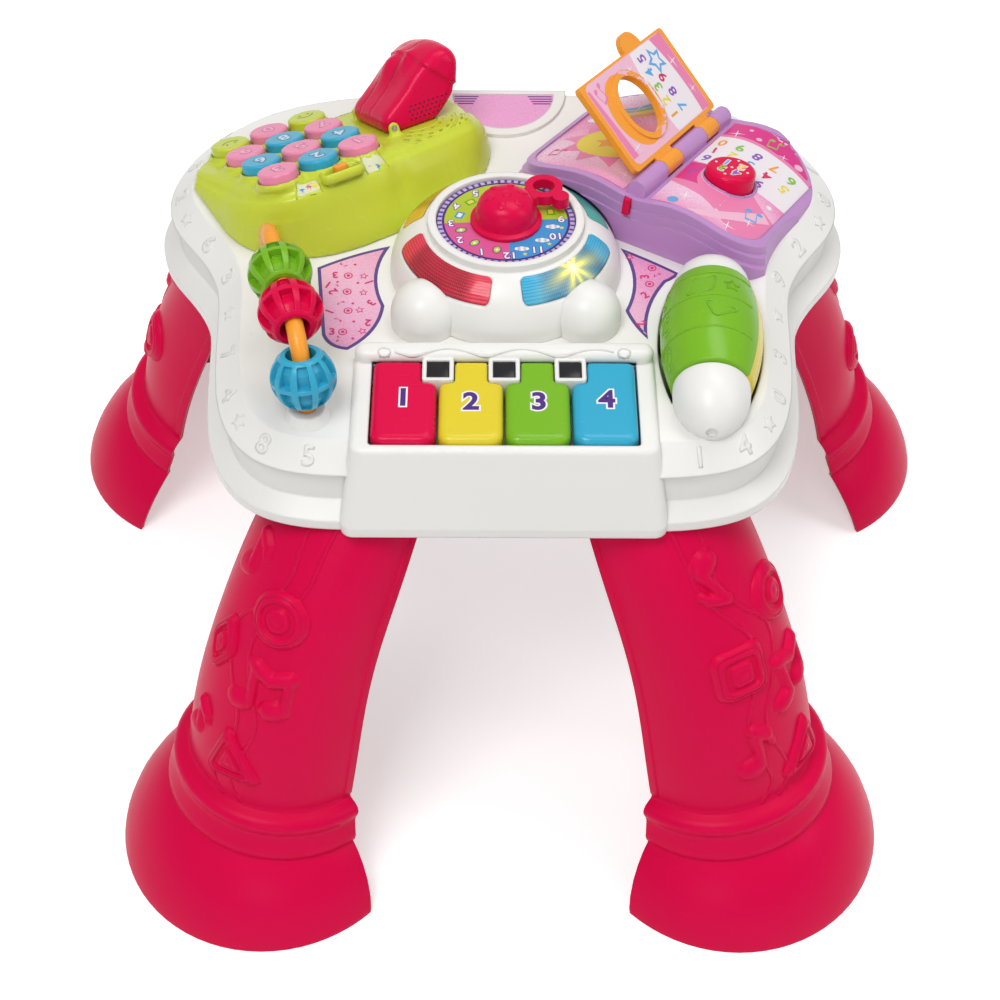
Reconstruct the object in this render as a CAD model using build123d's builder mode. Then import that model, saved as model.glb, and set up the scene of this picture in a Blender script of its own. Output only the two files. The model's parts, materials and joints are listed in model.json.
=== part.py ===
"""Musical activity table for toddlers: a lobed table top on four flared legs, with a phone, a book,
a clock dome, a bead arch, a roller and four piano keys.

Millimetres, +Z up. The origin is on the floor below the middle of the table. The piano keys face -Y and
the clock, the phone and the book are read from +Y. Every piece is written to its own STEP file.
"""
from build123d import *

import os
from math import atan2, cos, degrees, hypot, radians, sin, sqrt, tan

os.makedirs("parts", exist_ok=True)

# ---------------------------------------------------------------------------------------------------
# Driving dimensions
# ---------------------------------------------------------------------------------------------------
clearance = 0.4          # running gap round a moving piece
seat_gap = 0.25          # gap round a fixed piece in its seat
shaft_gap = 0.3          # gap round a shaft that something turns on
wall = 2.8               # moulded wall

# table top: heights above the floor
lip_z = 258.0            # lower rim of the top shell
lip_rise = 6.0           # height of the flared rim
waist_z = 271.0          # narrowest line of the side wall
ridge_z = 292.0          # lower edge of the sloping band
deck_z = 305.0           # flat play deck
waist_inset = 10.5       # side wall inside the rim
ridge_inset = 7.0        # band edge inside the rim
deck_inset = 21.0        # deck edge inside the rim

# right half of the rim, from the front middle round to the rear middle
rim_half = [
    (0, -139), (62, -138.5), (106, -136.5), (133, -126.5), (151, -106), (159.5, -82), (163.5, -50),
    (165, -18), (168, 8), (180, 32), (195, 55), (201.5, 80), (196, 112), (177, 145), (147, 169),
    (104, 184), (55, 189.5), (0, 190),
]

# legs: foot centre, direction of the open side and the sections up the leg
front_foot = (141.0, -156.0)
rear_foot = (204.0, 156.0)
front_foot_angle = -45.0     # outward direction of the foot, seen from above
rear_foot_angle = 30.0
leg_wall = 3.2
leg_top_z = 284.0
leg_shoulder_z = 259.2       # shoulder that the table top rests on
leg_plug_inset = 10.0        # plug above the shoulder, inside the leg
foot_radius = 90.0
band_low_z, band_low_radius = 41.0, 65.5
band_high_z, band_high_radius = 69.0, 60.5
band_step = 3.6              # how far the band stands out of the leg above it
socket_wall = 2.6
socket_floor = 3.0

# keyboard
keyboard_top_z = 309.0
keyboard_half_width_top = 79.5
keyboard_half_width_low = 86.0
keyboard_rear_y = -54.0
keyboard_front_top_y = -128.5
keyboard_front_low_y = -143.5
key_count = 4
key_pitch = 34.9
key_gap = 1.0
key_top_z = 312.0
key_low_z = 300.0
key_front_y = -124.0
key_shoulder_y = -67.0
key_tail_y = -57.5
key_tail_top_z = 306.0
key_nose_radius = 9.0
key_corner_radius = 7.0
key_well_floor_z = 294.5
key_pivot_y, key_pivot_z = -61.0, 303.0
key_pivot_radius = 1.5
key_travel_deg = 4.0
key_axle_half = 73.0
key_rim_top_z = 315.5
key_rim_depth = 11.5
window_width, window_depth = 12.0, 12.5
window_frame = 2.3
window_top_z = 313.0
window_recess = 3.0

# clock dome, spinner and light windows
dome_centre = (1.0, 16.0)
dome_tilt_deg = 4.0
dome_base_radius = 64.5
dome_shoulder = (57.5, 18.5)   # radius and height of a point on the flank
dome_top_radius = 43.5
dome_top_height = 29.0
dome_wall = 2.6
dome_skirt = 8.0
collar_width = 4.6
collar_rise = 3.6
dial_radius = 38.2
dial_thickness = 1.5
dial_height = 29.2
window_inner_radius, window_outer_radius = 46.0, 58.2
window_gap_front_deg, window_gap_side_deg = 9.0, 8.0
bulge_centre = (44.0, -45.0)   # from the dome centre
bulge_radius = 18.5
bulge_height = 25.0
plate_rear_y, plate_half_width, plate_depth, plate_top_z = 171.0, 38.0, 43.0, 307.0
plate_inset, plate_recess = 7.5, 1.0
knob_flange_radius, knob_flange_height = 19.6, 3.0
knob_radius, knob_height = 17.2, 18.0
knob_angle_deg = 42.0
ring_centre_radius = 28.0
ring_outer_radius, ring_hole_radius = 10.4, 6.0
hook_radius, hook_place_radius, hook_angle_deg = 4.6, 31.5, 18.0
ring_low, ring_high = 4.0, 10.0
axle_radius = 4.0
axle_reach = 3.5

# bead arch
arch_front = (-102.5, -100.0)
arch_rear = (-130.5, 14.0)
arch_front_z, arch_rear_z = 354.0, 343.0
arch_radius = 27.0
rod_radius = 4.7
boss_radius, boss_height = 12.0, 6.5
bead_radius = 17.2
bead_half_length = 13.8
bead_bore_radius = 7.9
bead_ribs = 10
bead_pocket_depth = 4.6
bead_belt = 2.4
bead_travel = 16.0
blue_bead_run = 30.0           # along the rod, from its front end
crimson_bead_run = 72.0
green_bead_run = 106.0
blue_bead_sag, crimson_bead_sag, green_bead_sag = 0.5, 1.8, 2.9

# roller
roller_centre = (111.3, -46.0)
roller_turn_deg = -4.0
roller_axis_z = 312.0
roller_half_length = 45.0
roller_middle_radius = 27.5
roller_end_radius = 19.5
roller_skin = 2.6
roller_gap = 2.0
roller_axle_radius = 2.5
roller_seam_deg = -28.0
axle_seat = 6.0
cap_nose_length = 25.0
rear_cap_radius, rear_cap_length = 10.0, 6.0

# phone
phone_yaw_deg = 30.0
phone_slope_deg = 23.4
keypad_centre = (-121.8, 92.5, 330.0)   # middle of the key tops
phone_key_pitch = 25.0
phone_key_radius = 11.4
phone_key_height = 11.0
phone_key_travel = 2.0
plinth_drop = 4.5            # plinth surface below the key tops
phone_deck_drop = 8.0        # phone deck below the key tops
plinth_radius = 14.2
phone_taper_deg = 12.0
rear_taper_deg = 8.0
phone_outline = [(-57, -70), (32, -67), (110, -48), (119, 8), (104, 60), (-57, 62)]
phone_corner_radii = [44, 60, 26, 30, 20, 46]
phone_edge_radius = 6.0
slider_place = (5.5, -54.5)
slider_slot_length, slider_slot_width = 20.0, 6.0
slider_length = 8.5
slider_travel = 5.0
slider_rise = 3.0

# handset
handset_profile = [(49, 0), (49, 9), (72, 25), (88, 32.5), (97, 33), (100.5, 26), (95, 11), (82, 0)]
handset_profile_radii = [3, 5, 14, 10, 5, 6, 8, 4]
handset_low, handset_high = -25.0, 22.0
handset_hinge = (52.5, 4.0)
handset_lift_deg = 55.0
handset_edge_radius = 3.0
handset_seat = 0.4           # gap between the handset and the phone deck
ear_width, ear_radius = 3.5, 3.4
hinge_rod_radius = 1.6

# book
book_yaw_deg = -30.4
book_slope_deg = 12.0
book_origin = (73.0, 39.5, 336.0)     # near end of the spine, on the pages
book_length = 118.0
book_left, book_right = -78.0, 75.0
book_margin = 4.0            # pages beyond the ends of the spine
book_corner_radius = 26.0
page_border = 5.0
page_depth = 1.0
page_glue = 0.15             # glue under a page
gutter = 8.0
ribbon_place, ribbon_width, ribbon_depth, ribbon_length = -2.5, 4.0, 1.6, 11.0
page_crown = 3.0
page_outer_drop = 13.0
page_step = 6.5                       # height of one layer of pages
page_ledge_side, page_ledge_end = 3.0, 0.9   # width of the ledge between two layers
spine_radius = 5.6
spine_height = 3.2
spine_pin_radius = 1.6
spine_cuts = [0.0, 30.0, 50.0, 82.0, 99.0, 116.0]
leaf_start, leaf_end = 8.0, 112.0
leaf_reach = 64.0
leaf_thickness = 3.6
leaf_angle_deg = 40.0
leaf_window_place = (40.0, 36.0)      # along the spine and out from it
leaf_window_radii = (16.0, 18.0)
leaf_ring_width, leaf_ring_rise = 4.0, 0.9
leaf_tab_place, leaf_tab_radius = 68.0, 10.0
button_place = (35.5, 48.0)
button_radius, button_height, button_travel = 14.2, 8.0, 3.0
button_seat = 2.5            # the button's middle height above the book plane
button_floor = button_seat - button_height - button_travel - clearance
leaf_inner = 7.0             # inner edge of the leaf, out from the spine

# stickers on the play deck
sticker_left = [(-104, 13), (-63, 31.6), (-71, 10.8), (-65, -17.4), (-84, -51.7), (-98.4, -40.3)]
sticker_right = [(65, 30.8), (98.5, 9.5), (91, 2), (80, -20), (77.5, -43), (66, -20.5), (72, 3.6)]
sticker_thickness = 0.25

# inside and underneath
cover_thickness = 3.0
screw_head_radius, screw_radius, screw_length = 3.0, 1.5, 8.0
screw_places = [(-150, 0), (150, 0), (-60, 172), (60, 172), (-181, 70), (181, 70), (-30, -117), (30, -117)]
battery_place = (0, -18)
battery_size = (52.0, 58.0, 19.0)
door_thickness = 2.4
speaker_place = (0, 60)
speaker_radius = 25.0
board_place, board_size, board_z, board_thickness = (0, 120), (90, 46), 290.0, 1.6

# ---------------------------------------------------------------------------------------------------
# Helpers
# ---------------------------------------------------------------------------------------------------


def rim_points(inset):
    """Points of the whole rim, moved inwards by an inset."""
    right = rim_half
    left = [(-x, y) for x, y in reversed(rim_half[1:-1])]
    ring = right + left
    moved = []
    for index, (x, y) in enumerate(ring):
        before = ring[index - 1]
        after = ring[(index + 1) % len(ring)]
        along = (after[0] - before[0], after[1] - before[1])
        length = hypot(*along)
        moved.append((x - inset * along[1] / length, y + inset * along[0] / length))
    return moved


def rim_sketch(height, inset):
    """Face of the rim outline at a height."""
    with BuildSketch(Plane.XY.offset(height)) as outline:
        with BuildLine():
            Spline(*rim_points(inset), periodic=True)
        make_face()
    return outline.sketch


def handset_plane():
    """Plane the handset profile is drawn from, just above the phone deck."""
    deck = tilted_plane(keypad_centre, phone_yaw_deg, phone_slope_deg).offset(-phone_deck_drop)
    return deck.offset(handset_seat)


def name_plate_sketch(gap):
    """Half oval of the name plate insert."""
    width, depth = plate_half_width - plate_inset - gap, plate_depth - 1.4 * plate_inset - gap
    rear_y = plate_rear_y - 0.5 * plate_inset - gap
    with BuildSketch() as outline:
        with BuildLine():
            EllipticalCenterArc((0, rear_y), width, depth, start_angle=180, arc_size=180)
            Line((width, rear_y), (-width, rear_y))
        make_face()
    return outline.sketch


def save(part, label):
    """Write one finished piece to its STEP file."""
    part.label = label
    export_step(part, f"parts/{label}.step")


def tilted_plane(origin, yaw_deg, slope_deg):
    """Plane whose y axis runs down to the rear at a slope and whose x axis is level."""
    yaw, slope = radians(yaw_deg), radians(slope_deg)
    x_dir = Vector(cos(yaw), sin(yaw), 0)
    y_dir = Vector(-sin(yaw) * cos(slope), cos(yaw) * cos(slope), -sin(slope))
    return Plane(origin=origin, x_dir=x_dir, z_dir=x_dir.cross(y_dir))


def side_plane(plane, offset=0.0):
    """Plane of a section across the y axis of another plane: its x is the other's x, its y the normal."""
    return Plane(origin=plane.origin + plane.y_dir * offset, x_dir=plane.x_dir, z_dir=-plane.y_dir)


# ---------------------------------------------------------------------------------------------------
# Legs
# ---------------------------------------------------------------------------------------------------


def leg_lean(height):
    """How far the leg has leaned inwards at a height, and its slope there."""
    turn = max(height - band_high_z, 0.0)
    lean = 0.265 * min(height, band_high_z) + 0.235 * turn + 0.00105 * turn * turn
    slope = 0.235 + 0.0021 * turn
    return lean, slope


def leg_radius(height):
    """Outer radius of the leg above its band."""
    turn = height - band_high_z
    return band_high_radius - band_step + 0.038 * turn - 0.00061 * turn * turn


def leg_sections():
    """Height and radius of the sections of a leg, from the floor up."""
    bell = [(0.0, foot_radius), (5.0, foot_radius - 1.0), (17.0, foot_radius - 8.0), (30.0, foot_radius - 18.0)]
    band = [(band_low_z, band_low_radius), (band_high_z, band_high_radius)]
    return bell, band


def leg_plane(foot, angle_deg, height):
    """Section plane of a leg: x points outwards and rises with the lean of the leg."""
    lean, slope = leg_lean(height)
    share = min(height / band_low_z, 1.0)
    tilt = atan2(slope * share, 1.0) * 0.8
    angle = radians(angle_deg)
    out = Vector(cos(angle), sin(angle), 0)
    origin = Vector(foot[0], foot[1], 0) - out * lean + Vector(0, 0, height)
    x_dir = out * cos(tilt) + Vector(0, 0, sin(tilt))
    side = Vector(0, 0, 1).cross(out)
    return Plane(origin=origin, x_dir=x_dir, z_dir=x_dir.cross(side))


def half_disc(plane, radius, back=0.0):
    """Half disc on the outward side of a plane, with its straight side moved back."""
    with BuildSketch(plane) as section:
        with BuildLine():
            ThreePointArc((0, -radius), (radius, 0), (0, radius))
            if back:
                Polyline((0, radius), (-back, radius), (-back, -radius), (0, -radius))
            else:
                Line((0, radius), (0, -radius))
        make_face()
    return section.sketch


def leg_loft(foot, angle_deg, stations, grow=0.0, back=0.0):
    """Loft of half discs through the stations of a leg."""
    with BuildPart() as body:
        for height, radius in stations:
            add(half_disc(leg_plane(foot, angle_deg, height), radius + grow, back))
        loft(ruled=True)
    return body.part


shaft_heights = [band_high_z, 105.0, 145.0, 185.0, 225.0, 262.0, 300.0]
shaft_stations = [(height, leg_radius(height)) for height in shaft_heights]
socket_stations = [(height, leg_radius(height)) for height in (185.0, 225.0, 262.0, 300.0)]
plug_stations = [(height, radius - leg_plug_inset) for height, radius in socket_stations]


def between(part, low_z, high_z):
    """The stretch of a part between two heights."""
    with BuildPart() as stretch:
        add(part)
        split(bisect_by=Plane.XY.offset(low_z), keep=Keep.TOP)
        split(bisect_by=Plane.XY.offset(high_z), keep=Keep.BOTTOM)
    return stretch.part


def make_leg(foot, angle_deg):
    bell, band = leg_sections()
    inner_bell = [(-6.0, foot_radius)] + bell[1:] + band[:1]
    with BuildPart() as leg:
        add(leg_loft(foot, angle_deg, bell + band[:1]))
        add(leg_loft(foot, angle_deg, band))
        add(leg_loft(foot, angle_deg, shaft_stations))
        split(bisect_by=Plane.XY, keep=Keep.TOP)
        split(bisect_by=Plane.XY.offset(leg_shoulder_z), keep=Keep.BOTTOM)
        for stations in (inner_bell, band[:1] + shaft_stations[:1], shaft_stations[:-1]):
            room = leg_loft(foot, angle_deg, stations, -leg_wall, 40.0)
            add(between(room, -10.0, leg_shoulder_z - leg_wall), mode=Mode.SUBTRACT)
        plug = leg_loft(foot, angle_deg, plug_stations)
        add(between(plug, leg_shoulder_z - 1.0, leg_top_z))
        room = leg_loft(foot, angle_deg, plug_stations, -leg_wall, 40.0)
        add(between(room, leg_shoulder_z - leg_wall - 1.0, leg_top_z + 1.0), mode=Mode.SUBTRACT)
    return leg.part


leg_places = {
    "leg_front_left": ((-front_foot[0], front_foot[1]), 180 - front_foot_angle),
    "leg_front_right": (front_foot, front_foot_angle),
    "leg_rear_left": ((-rear_foot[0], rear_foot[1]), 180 - rear_foot_angle),
    "leg_rear_right": (rear_foot, rear_foot_angle),
}
for leg_name, (foot, angle_deg) in leg_places.items():
    save(make_leg(foot, angle_deg), leg_name)

# ---------------------------------------------------------------------------------------------------
# Table top
# ---------------------------------------------------------------------------------------------------
key_plane = tilted_plane(keypad_centre, phone_yaw_deg, phone_slope_deg)
phone_keys = [(column, row) for row in range(4) for column in (1, 0, -1)]
phone_key_places = [(column * phone_key_pitch, (row - 1.5) * phone_key_pitch) for column, row in phone_keys]
phone_well_depth = phone_key_height + phone_key_travel + clearance
key_left_x = -key_count * key_pitch / 2
key_well_width = key_count * key_pitch + 2 * clearance
boundary_x = [key_left_x + key_pitch * index for index in range(1, key_count)]
window_place_y = key_shoulder_y - window_depth / 2 - 0.3

roller_plane = Plane(origin=(roller_centre[0], roller_centre[1], roller_axis_z),
                     x_dir=(cos(radians(roller_turn_deg)), sin(radians(roller_turn_deg)), 0), z_dir=(0, 0, 1))
roller_axis = Axis(roller_plane.origin, roller_plane.y_dir)
axle_rod_half = roller_half_length + 1.0 + axle_seat


def barrel(grow=0.0, extra_length=0.0, inner_radius=0.0):
    """Barrel of the roller, turned round its own axis."""
    half = roller_half_length + extra_length
    with BuildPart() as body:
        with BuildSketch(roller_plane):
            with BuildLine():
                Line((inner_radius, -half), (roller_end_radius + grow, -half))
                ThreePointArc((roller_end_radius + grow, -half), (roller_middle_radius + grow, 0),
                              (roller_end_radius + grow, half))
                Line((roller_end_radius + grow, half), (inner_radius, half))
                Line((inner_radius, half), (inner_radius, -half))
            make_face()
        revolve(axis=roller_axis)
    return body.part


def roller_nose(end, nose, radius):
    """Half of an egg that carries one end of the roller, from inside the slot outwards."""
    start = roller_half_length - 1.0
    with BuildPart() as body:
        with BuildSketch(roller_plane):
            with BuildLine():
                tip = 0.15 * radius
                Polyline((tip, end * (start + 2.0 + nose)), (0, end * (start + 2.0 + nose)), (0, end * start),
                         (radius, end * start), (radius, end * (start + 2.0)))
                Spline((radius, end * (start + 2.0)), (0.92 * radius, end * (start + 2.0 + 0.4 * nose)),
                       (0.7 * radius, end * (start + 2.0 + 0.72 * nose)),
                       (0.42 * radius, end * (start + 2.0 + 0.91 * nose)), (tip, end * (start + 2.0 + nose)))
            make_face()
        revolve(axis=roller_axis)
        split(bisect_by=Plane.XY.offset(deck_z - wall), keep=Keep.TOP)
    return body.part


with BuildPart() as top_shell:
    for low, high in (
        ((lip_z, 0.0), (lip_z + lip_rise, 0.0)),
        ((lip_z + lip_rise, 0.0), (waist_z, waist_inset)),
        ((waist_z, waist_inset), (ridge_z - 2.0, waist_inset)),
        ((ridge_z - 2.0, waist_inset), (ridge_z, ridge_inset)),
        ((ridge_z, ridge_inset), (deck_z, deck_inset)),
    ):
        with BuildPart(mode=Mode.PRIVATE) as layer:
            add(rim_sketch(*low))
            add(rim_sketch(*high))
            loft(ruled=True)
        add(layer.part)
    # keyboard block
    with BuildPart(mode=Mode.PRIVATE) as block:
        block_sections = (
            (lip_z, keyboard_half_width_low, keyboard_front_low_y),
            (lip_z + lip_rise, keyboard_half_width_low, keyboard_front_low_y),
            (keyboard_top_z, keyboard_half_width_top, keyboard_front_top_y),
        )
        for height, half_width, front_y in block_sections:
            with BuildSketch(Plane.XY.offset(height)):
                with Locations((0, (front_y + keyboard_rear_y) / 2)):
                    RectangleRounded(2 * half_width, keyboard_rear_y - front_y, 7)
        loft(ruled=True)
        fillet(block.edges().group_by(Axis.Z)[-1], 3.5)
    add(block.part)
    # raised rim behind the keys
    with BuildSketch(Plane.XY.offset(deck_z)):
        with Locations((0, keyboard_rear_y - key_rim_depth / 2)):
            RectangleRounded(2 * keyboard_half_width_top, key_rim_depth, 5.5)
    extrude(amount=key_rim_top_z - deck_z)
    fillet(top_shell.edges().filter_by_position(Axis.Z, key_rim_top_z - 0.01, key_rim_top_z + 0.01), 4.0)
    # inside of the shell
    for low_z, high_z, inset in (
        (lip_z, lip_z + cover_thickness + seat_gap, wall),
        (lip_z + cover_thickness, ridge_z - 4.0, waist_inset + wall),
        (ridge_z - 4.5, deck_z - wall, deck_inset + wall),
    ):
        with BuildPart(mode=Mode.PRIVATE) as hollow:
            add(rim_sketch(low_z, inset))
            extrude(amount=high_z - low_z)
            if high_z > key_well_floor_z - wall:
                with BuildSketch(Plane.XY.offset(low_z)):
                    with Locations((0, keyboard_front_top_y)):
                        Rectangle(2 * keyboard_half_width_low, 2 * (keyboard_rear_y - keyboard_front_top_y + wall))
                extrude(amount=high_z - low_z, mode=Mode.SUBTRACT)
        add(hollow.part, mode=Mode.SUBTRACT)
    # well of the piano keys, with a tunnel for their tails under the rim
    well_length = key_shoulder_y + clearance - (key_front_y - clearance)
    with BuildSketch(Plane.XY.offset(key_well_floor_z)):
        with Locations((0, key_shoulder_y + clearance - well_length / 2)):
            RectangleRounded(key_well_width, well_length, 2)
    extrude(amount=key_rim_top_z - key_well_floor_z, mode=Mode.SUBTRACT)
    tail_length = key_tail_y + 2.0 - key_shoulder_y
    with BuildSketch(Plane.XY.offset(key_well_floor_z)):
        with Locations((0, key_tail_y + 2.0 - tail_length / 2)):
            Rectangle(key_well_width, tail_length + 2)
    extrude(amount=key_tail_top_z + 4.0 - key_well_floor_z, mode=Mode.SUBTRACT)
    # window frames standing between the keys
    for x in boundary_x:
        with BuildSketch(Plane.XY.offset(key_well_floor_z)):
            with Locations((x, window_place_y)):
                RectangleRounded(window_width + 2 * window_frame, window_depth + 2 * window_frame, 1.8)
        extrude(amount=window_top_z - key_well_floor_z)
        with BuildSketch(Plane.XY.offset(window_top_z - window_recess - 4.0)):
            with Locations((x, window_place_y)):
                Rectangle(window_width, window_depth)
        extrude(amount=window_recess + 4.0, mode=Mode.SUBTRACT)
    # noses that carry the roller, and its slot
    for end, nose, radius in ((-1, cap_nose_length, roller_end_radius), (1, rear_cap_length, rear_cap_radius)):
        add(roller_nose(end, nose, radius))
    add(barrel(roller_gap, 1.0), mode=Mode.SUBTRACT)
    with BuildSketch(Plane(origin=roller_plane.origin - roller_plane.y_dir * axle_rod_half, z_dir=roller_plane.y_dir)):
        Circle(roller_axle_radius)
    extrude(amount=2 * axle_rod_half, mode=Mode.SUBTRACT)
    # room under the phone keys, and posts for the board
    with BuildSketch(key_plane):
        with Locations(*phone_key_places):
            Circle(phone_key_radius + clearance + 0.5)
    extrude(amount=-phone_well_depth - 0.5, mode=Mode.SUBTRACT)
    for dx, dy in ((-1, -1), (1, -1), (1, 1), (-1, 1)):
        with BuildSketch(Plane.XY.offset(board_z + board_thickness)):
            with Locations((board_place[0] + dx * (board_size[0] / 2 - 5), board_place[1] + dy * (board_size[1] / 2 - 5))):
                Circle(3)
        extrude(amount=deck_z - wall - board_z - board_thickness)
    # bosses of the bead arch
    for x, y in (arch_front, arch_rear):
        with BuildSketch(Plane.XY.offset(deck_z)):
            with Locations((x, y)):
                Circle(boss_radius)
        extrude(amount=boss_height, taper=22)
        with BuildSketch(Plane.XY.offset(deck_z + boss_height)):
            with Locations((x, y)):
                Circle(rod_radius + seat_gap)
        extrude(amount=-(boss_height + wall + 6.0), mode=Mode.SUBTRACT)
    # raised frame of the name plate
    with BuildSketch(Plane.XY.offset(deck_z - wall)):
        with BuildLine():
            EllipticalCenterArc((0, plate_rear_y), plate_half_width, plate_depth, start_angle=180, arc_size=180)
            Line((plate_half_width, plate_rear_y), (-plate_half_width, plate_rear_y))
        make_face()
    extrude(amount=plate_top_z - deck_z + wall)
    with BuildSketch(Plane.XY.offset(plate_top_z - plate_recess)):
        add(name_plate_sketch(0.0))
    extrude(amount=plate_recess, mode=Mode.SUBTRACT)
    # seats of the axle that the piano keys turn on
    with BuildSketch(Plane.YZ.offset(-key_axle_half)):
        with Locations((key_pivot_y, key_pivot_z)):
            Circle(key_pivot_radius)
    extrude(amount=2 * key_axle_half, mode=Mode.SUBTRACT)
save(top_shell.part, "top_shell")

# piano keys and the axle they turn on
for index in range(key_count):
    middle_x = key_left_x + key_pitch * (index + 0.5)
    half_key = (key_pitch - key_gap) / 2
    with BuildPart() as key:
        with BuildSketch(Plane.XY.offset(key_low_z)):
            with Locations((middle_x, (key_front_y + key_shoulder_y) / 2)):
                Rectangle(2 * half_key, key_shoulder_y - key_front_y)
        extrude(amount=key_top_z - key_low_z)
        fillet(key.edges().filter_by(Axis.Z).group_by(Axis.Y)[0], key_corner_radius)
        fillet(key.edges().group_by(Axis.Z)[-1].group_by(Axis.Y)[0], key_nose_radius - 5.0)
        with BuildSketch(Plane.XY.offset(key_low_z)):
            with Locations((middle_x, (key_shoulder_y + key_tail_y) / 2 - 1.0)):
                Rectangle(key_pitch - window_width - 2 * window_frame - 1.6, key_tail_y - key_shoulder_y + 2.0)
        extrude(amount=key_tail_top_z - key_low_z)
        for x in boundary_x:
            with BuildSketch(Plane.XY.offset(key_low_z)):
                with Locations((x, window_place_y)):
                    notch = window_frame + clearance
                    RectangleRounded(window_width + 2 * notch, window_depth + 2 * notch, 2.0)
            extrude(amount=key_top_z - key_low_z, mode=Mode.SUBTRACT)
        with BuildSketch(Plane.XY.offset(key_low_z)):
            with Locations((middle_x, (key_front_y + window_place_y - window_depth / 2) / 2 - 1.0)):
                hollow_length = window_place_y - window_depth / 2 - key_front_y - 12.0
                RectangleRounded(2 * half_key - 2 * wall, hollow_length, 4)
        extrude(amount=key_top_z - key_low_z - wall, mode=Mode.SUBTRACT)
        with BuildSketch(Plane.YZ.offset(middle_x - half_key)):
            with Locations((key_pivot_y, key_pivot_z)):
                Circle(key_pivot_radius + shaft_gap)
        extrude(amount=2 * half_key, mode=Mode.SUBTRACT)
    save(key.part, f"piano_key_{index + 1}")
with BuildPart() as key_axle:
    with BuildSketch(Plane.YZ.offset(-key_axle_half)):
        with Locations((key_pivot_y, key_pivot_z)):
            Circle(key_pivot_radius)
    extrude(amount=2 * key_axle_half)
save(key_axle.part, "key_axle")

# name plate insert
with BuildPart() as name_plate:
    with BuildSketch(Plane.XY.offset(plate_top_z - plate_recess)):
        add(name_plate_sketch(seat_gap))
    extrude(amount=plate_recess - 0.1)
save(name_plate.part, "name_plate")

# roller halves and their axle
seam_plane = Plane(origin=roller_plane.origin, x_dir=roller_plane.y_dir,
                   z_dir=roller_plane.x_dir * -sin(radians(roller_seam_deg))
                   + Vector(0, 0, cos(radians(roller_seam_deg))))
for roller_name, side in (("roller_green", Keep.TOP), ("roller_yellow", Keep.BOTTOM)):
    with BuildPart() as half_roller:
        add(barrel())
        add(barrel(-roller_skin, -roller_skin), mode=Mode.SUBTRACT)
        for end in (-1, 1):
            hub_start = roller_plane.origin + roller_plane.y_dir * end * (roller_half_length - roller_skin)
            with BuildSketch(Plane(origin=hub_start, z_dir=roller_plane.y_dir * -end)):
                Circle(roller_axle_radius + wall)
            extrude(amount=8.0)
        with BuildSketch(Plane(origin=roller_plane.origin - roller_plane.y_dir * 60, z_dir=roller_plane.y_dir)):
            Circle(roller_axle_radius + shaft_gap)
        extrude(amount=120, mode=Mode.SUBTRACT)
        split(bisect_by=seam_plane, keep=side)
    save(half_roller.part, roller_name)
with BuildPart() as roller_axle_rod:
    with BuildSketch(Plane(origin=roller_plane.origin - roller_plane.y_dir * axle_rod_half, z_dir=roller_plane.y_dir)):
        Circle(roller_axle_radius)
    extrude(amount=2 * axle_rod_half)
save(roller_axle_rod.part, "roller_axle")

# ---------------------------------------------------------------------------------------------------
# Bead arch
# ---------------------------------------------------------------------------------------------------
arch_step = Vector(arch_rear[0] - arch_front[0], arch_rear[1] - arch_front[1], 0)
arch_dir = arch_step.normalized()
arch_plane = Plane(origin=(arch_front[0], arch_front[1], 0), x_dir=arch_dir, z_dir=arch_dir.cross(Vector(0, 0, 1)))
rod_low_z = deck_z - 4.0
with BuildPart() as bead_rod:
    with BuildLine(arch_plane) as arch_line:
        FilletPolyline((0, rod_low_z), (0, arch_front_z), (arch_step.length, arch_rear_z),
                       (arch_step.length, rod_low_z), radius=arch_radius)
    with BuildSketch(Plane(origin=(arch_front[0], arch_front[1], rod_low_z), z_dir=(0, 0, 1))):
        Circle(rod_radius)
    sweep()
save(bead_rod.part, "bead_rod")
arch_wire = arch_line.wires()[0]
arch_length = arch_wire.length


def bead_plane(run, sag):
    """Plane of a bead at a place along the rod, with its z axis along the bore, hanging by a sag."""
    ends = [arch_wire.position_at((run + step) / arch_length) for step in (-bead_half_length, bead_half_length)]
    middle = arch_wire.position_at(run / arch_length)
    inwards = (ends[1] - ends[0]).cross(arch_plane.z_dir).normalized()
    origin = (ends[0] + ends[1]) * 0.25 + middle * 0.5 + inwards * sag
    return Plane(origin=origin, x_dir=arch_plane.z_dir, z_dir=ends[1] - ends[0])


with BuildPart() as bead:
    Sphere(bead_radius)
    with BuildPart(mode=Mode.INTERSECT):
        Cylinder(bead_radius + 1, 2 * bead_half_length)
    with BuildPart(mode=Mode.PRIVATE) as pockets:
        with BuildSketch(Plane.XZ) as pocket_section:
            for end in (-1, 1):
                inner = bead_radius - bead_pocket_depth
                with BuildLine():
                    Polyline((inner, end * bead_belt / 2), (bead_radius + 2, end * bead_belt / 2),
                             (bead_radius + 2, end * (bead_half_length - 1.5)),
                             (bead_bore_radius + 2.2, end * (bead_half_length - 1.5)),
                             (inner, end * bead_half_length * 0.55), close=True)
                make_face()
        revolve(axis=Axis.Z, revolution_arc=360 / bead_ribs * 0.66)
    with PolarLocations(0, bead_ribs):
        add(pockets.part, mode=Mode.SUBTRACT)
    Cylinder(bead_bore_radius, 2 * bead_radius, mode=Mode.SUBTRACT)
for bead_name, run, sag in (("bead_blue", blue_bead_run, blue_bead_sag), ("bead_crimson", crimson_bead_run, crimson_bead_sag),
                            ("bead_green", green_bead_run, green_bead_sag)):
    place = bead_plane(run, sag)
    save(place.location * bead.part, bead_name)
    print(bead_name, place.origin, place.z_dir)

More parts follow.
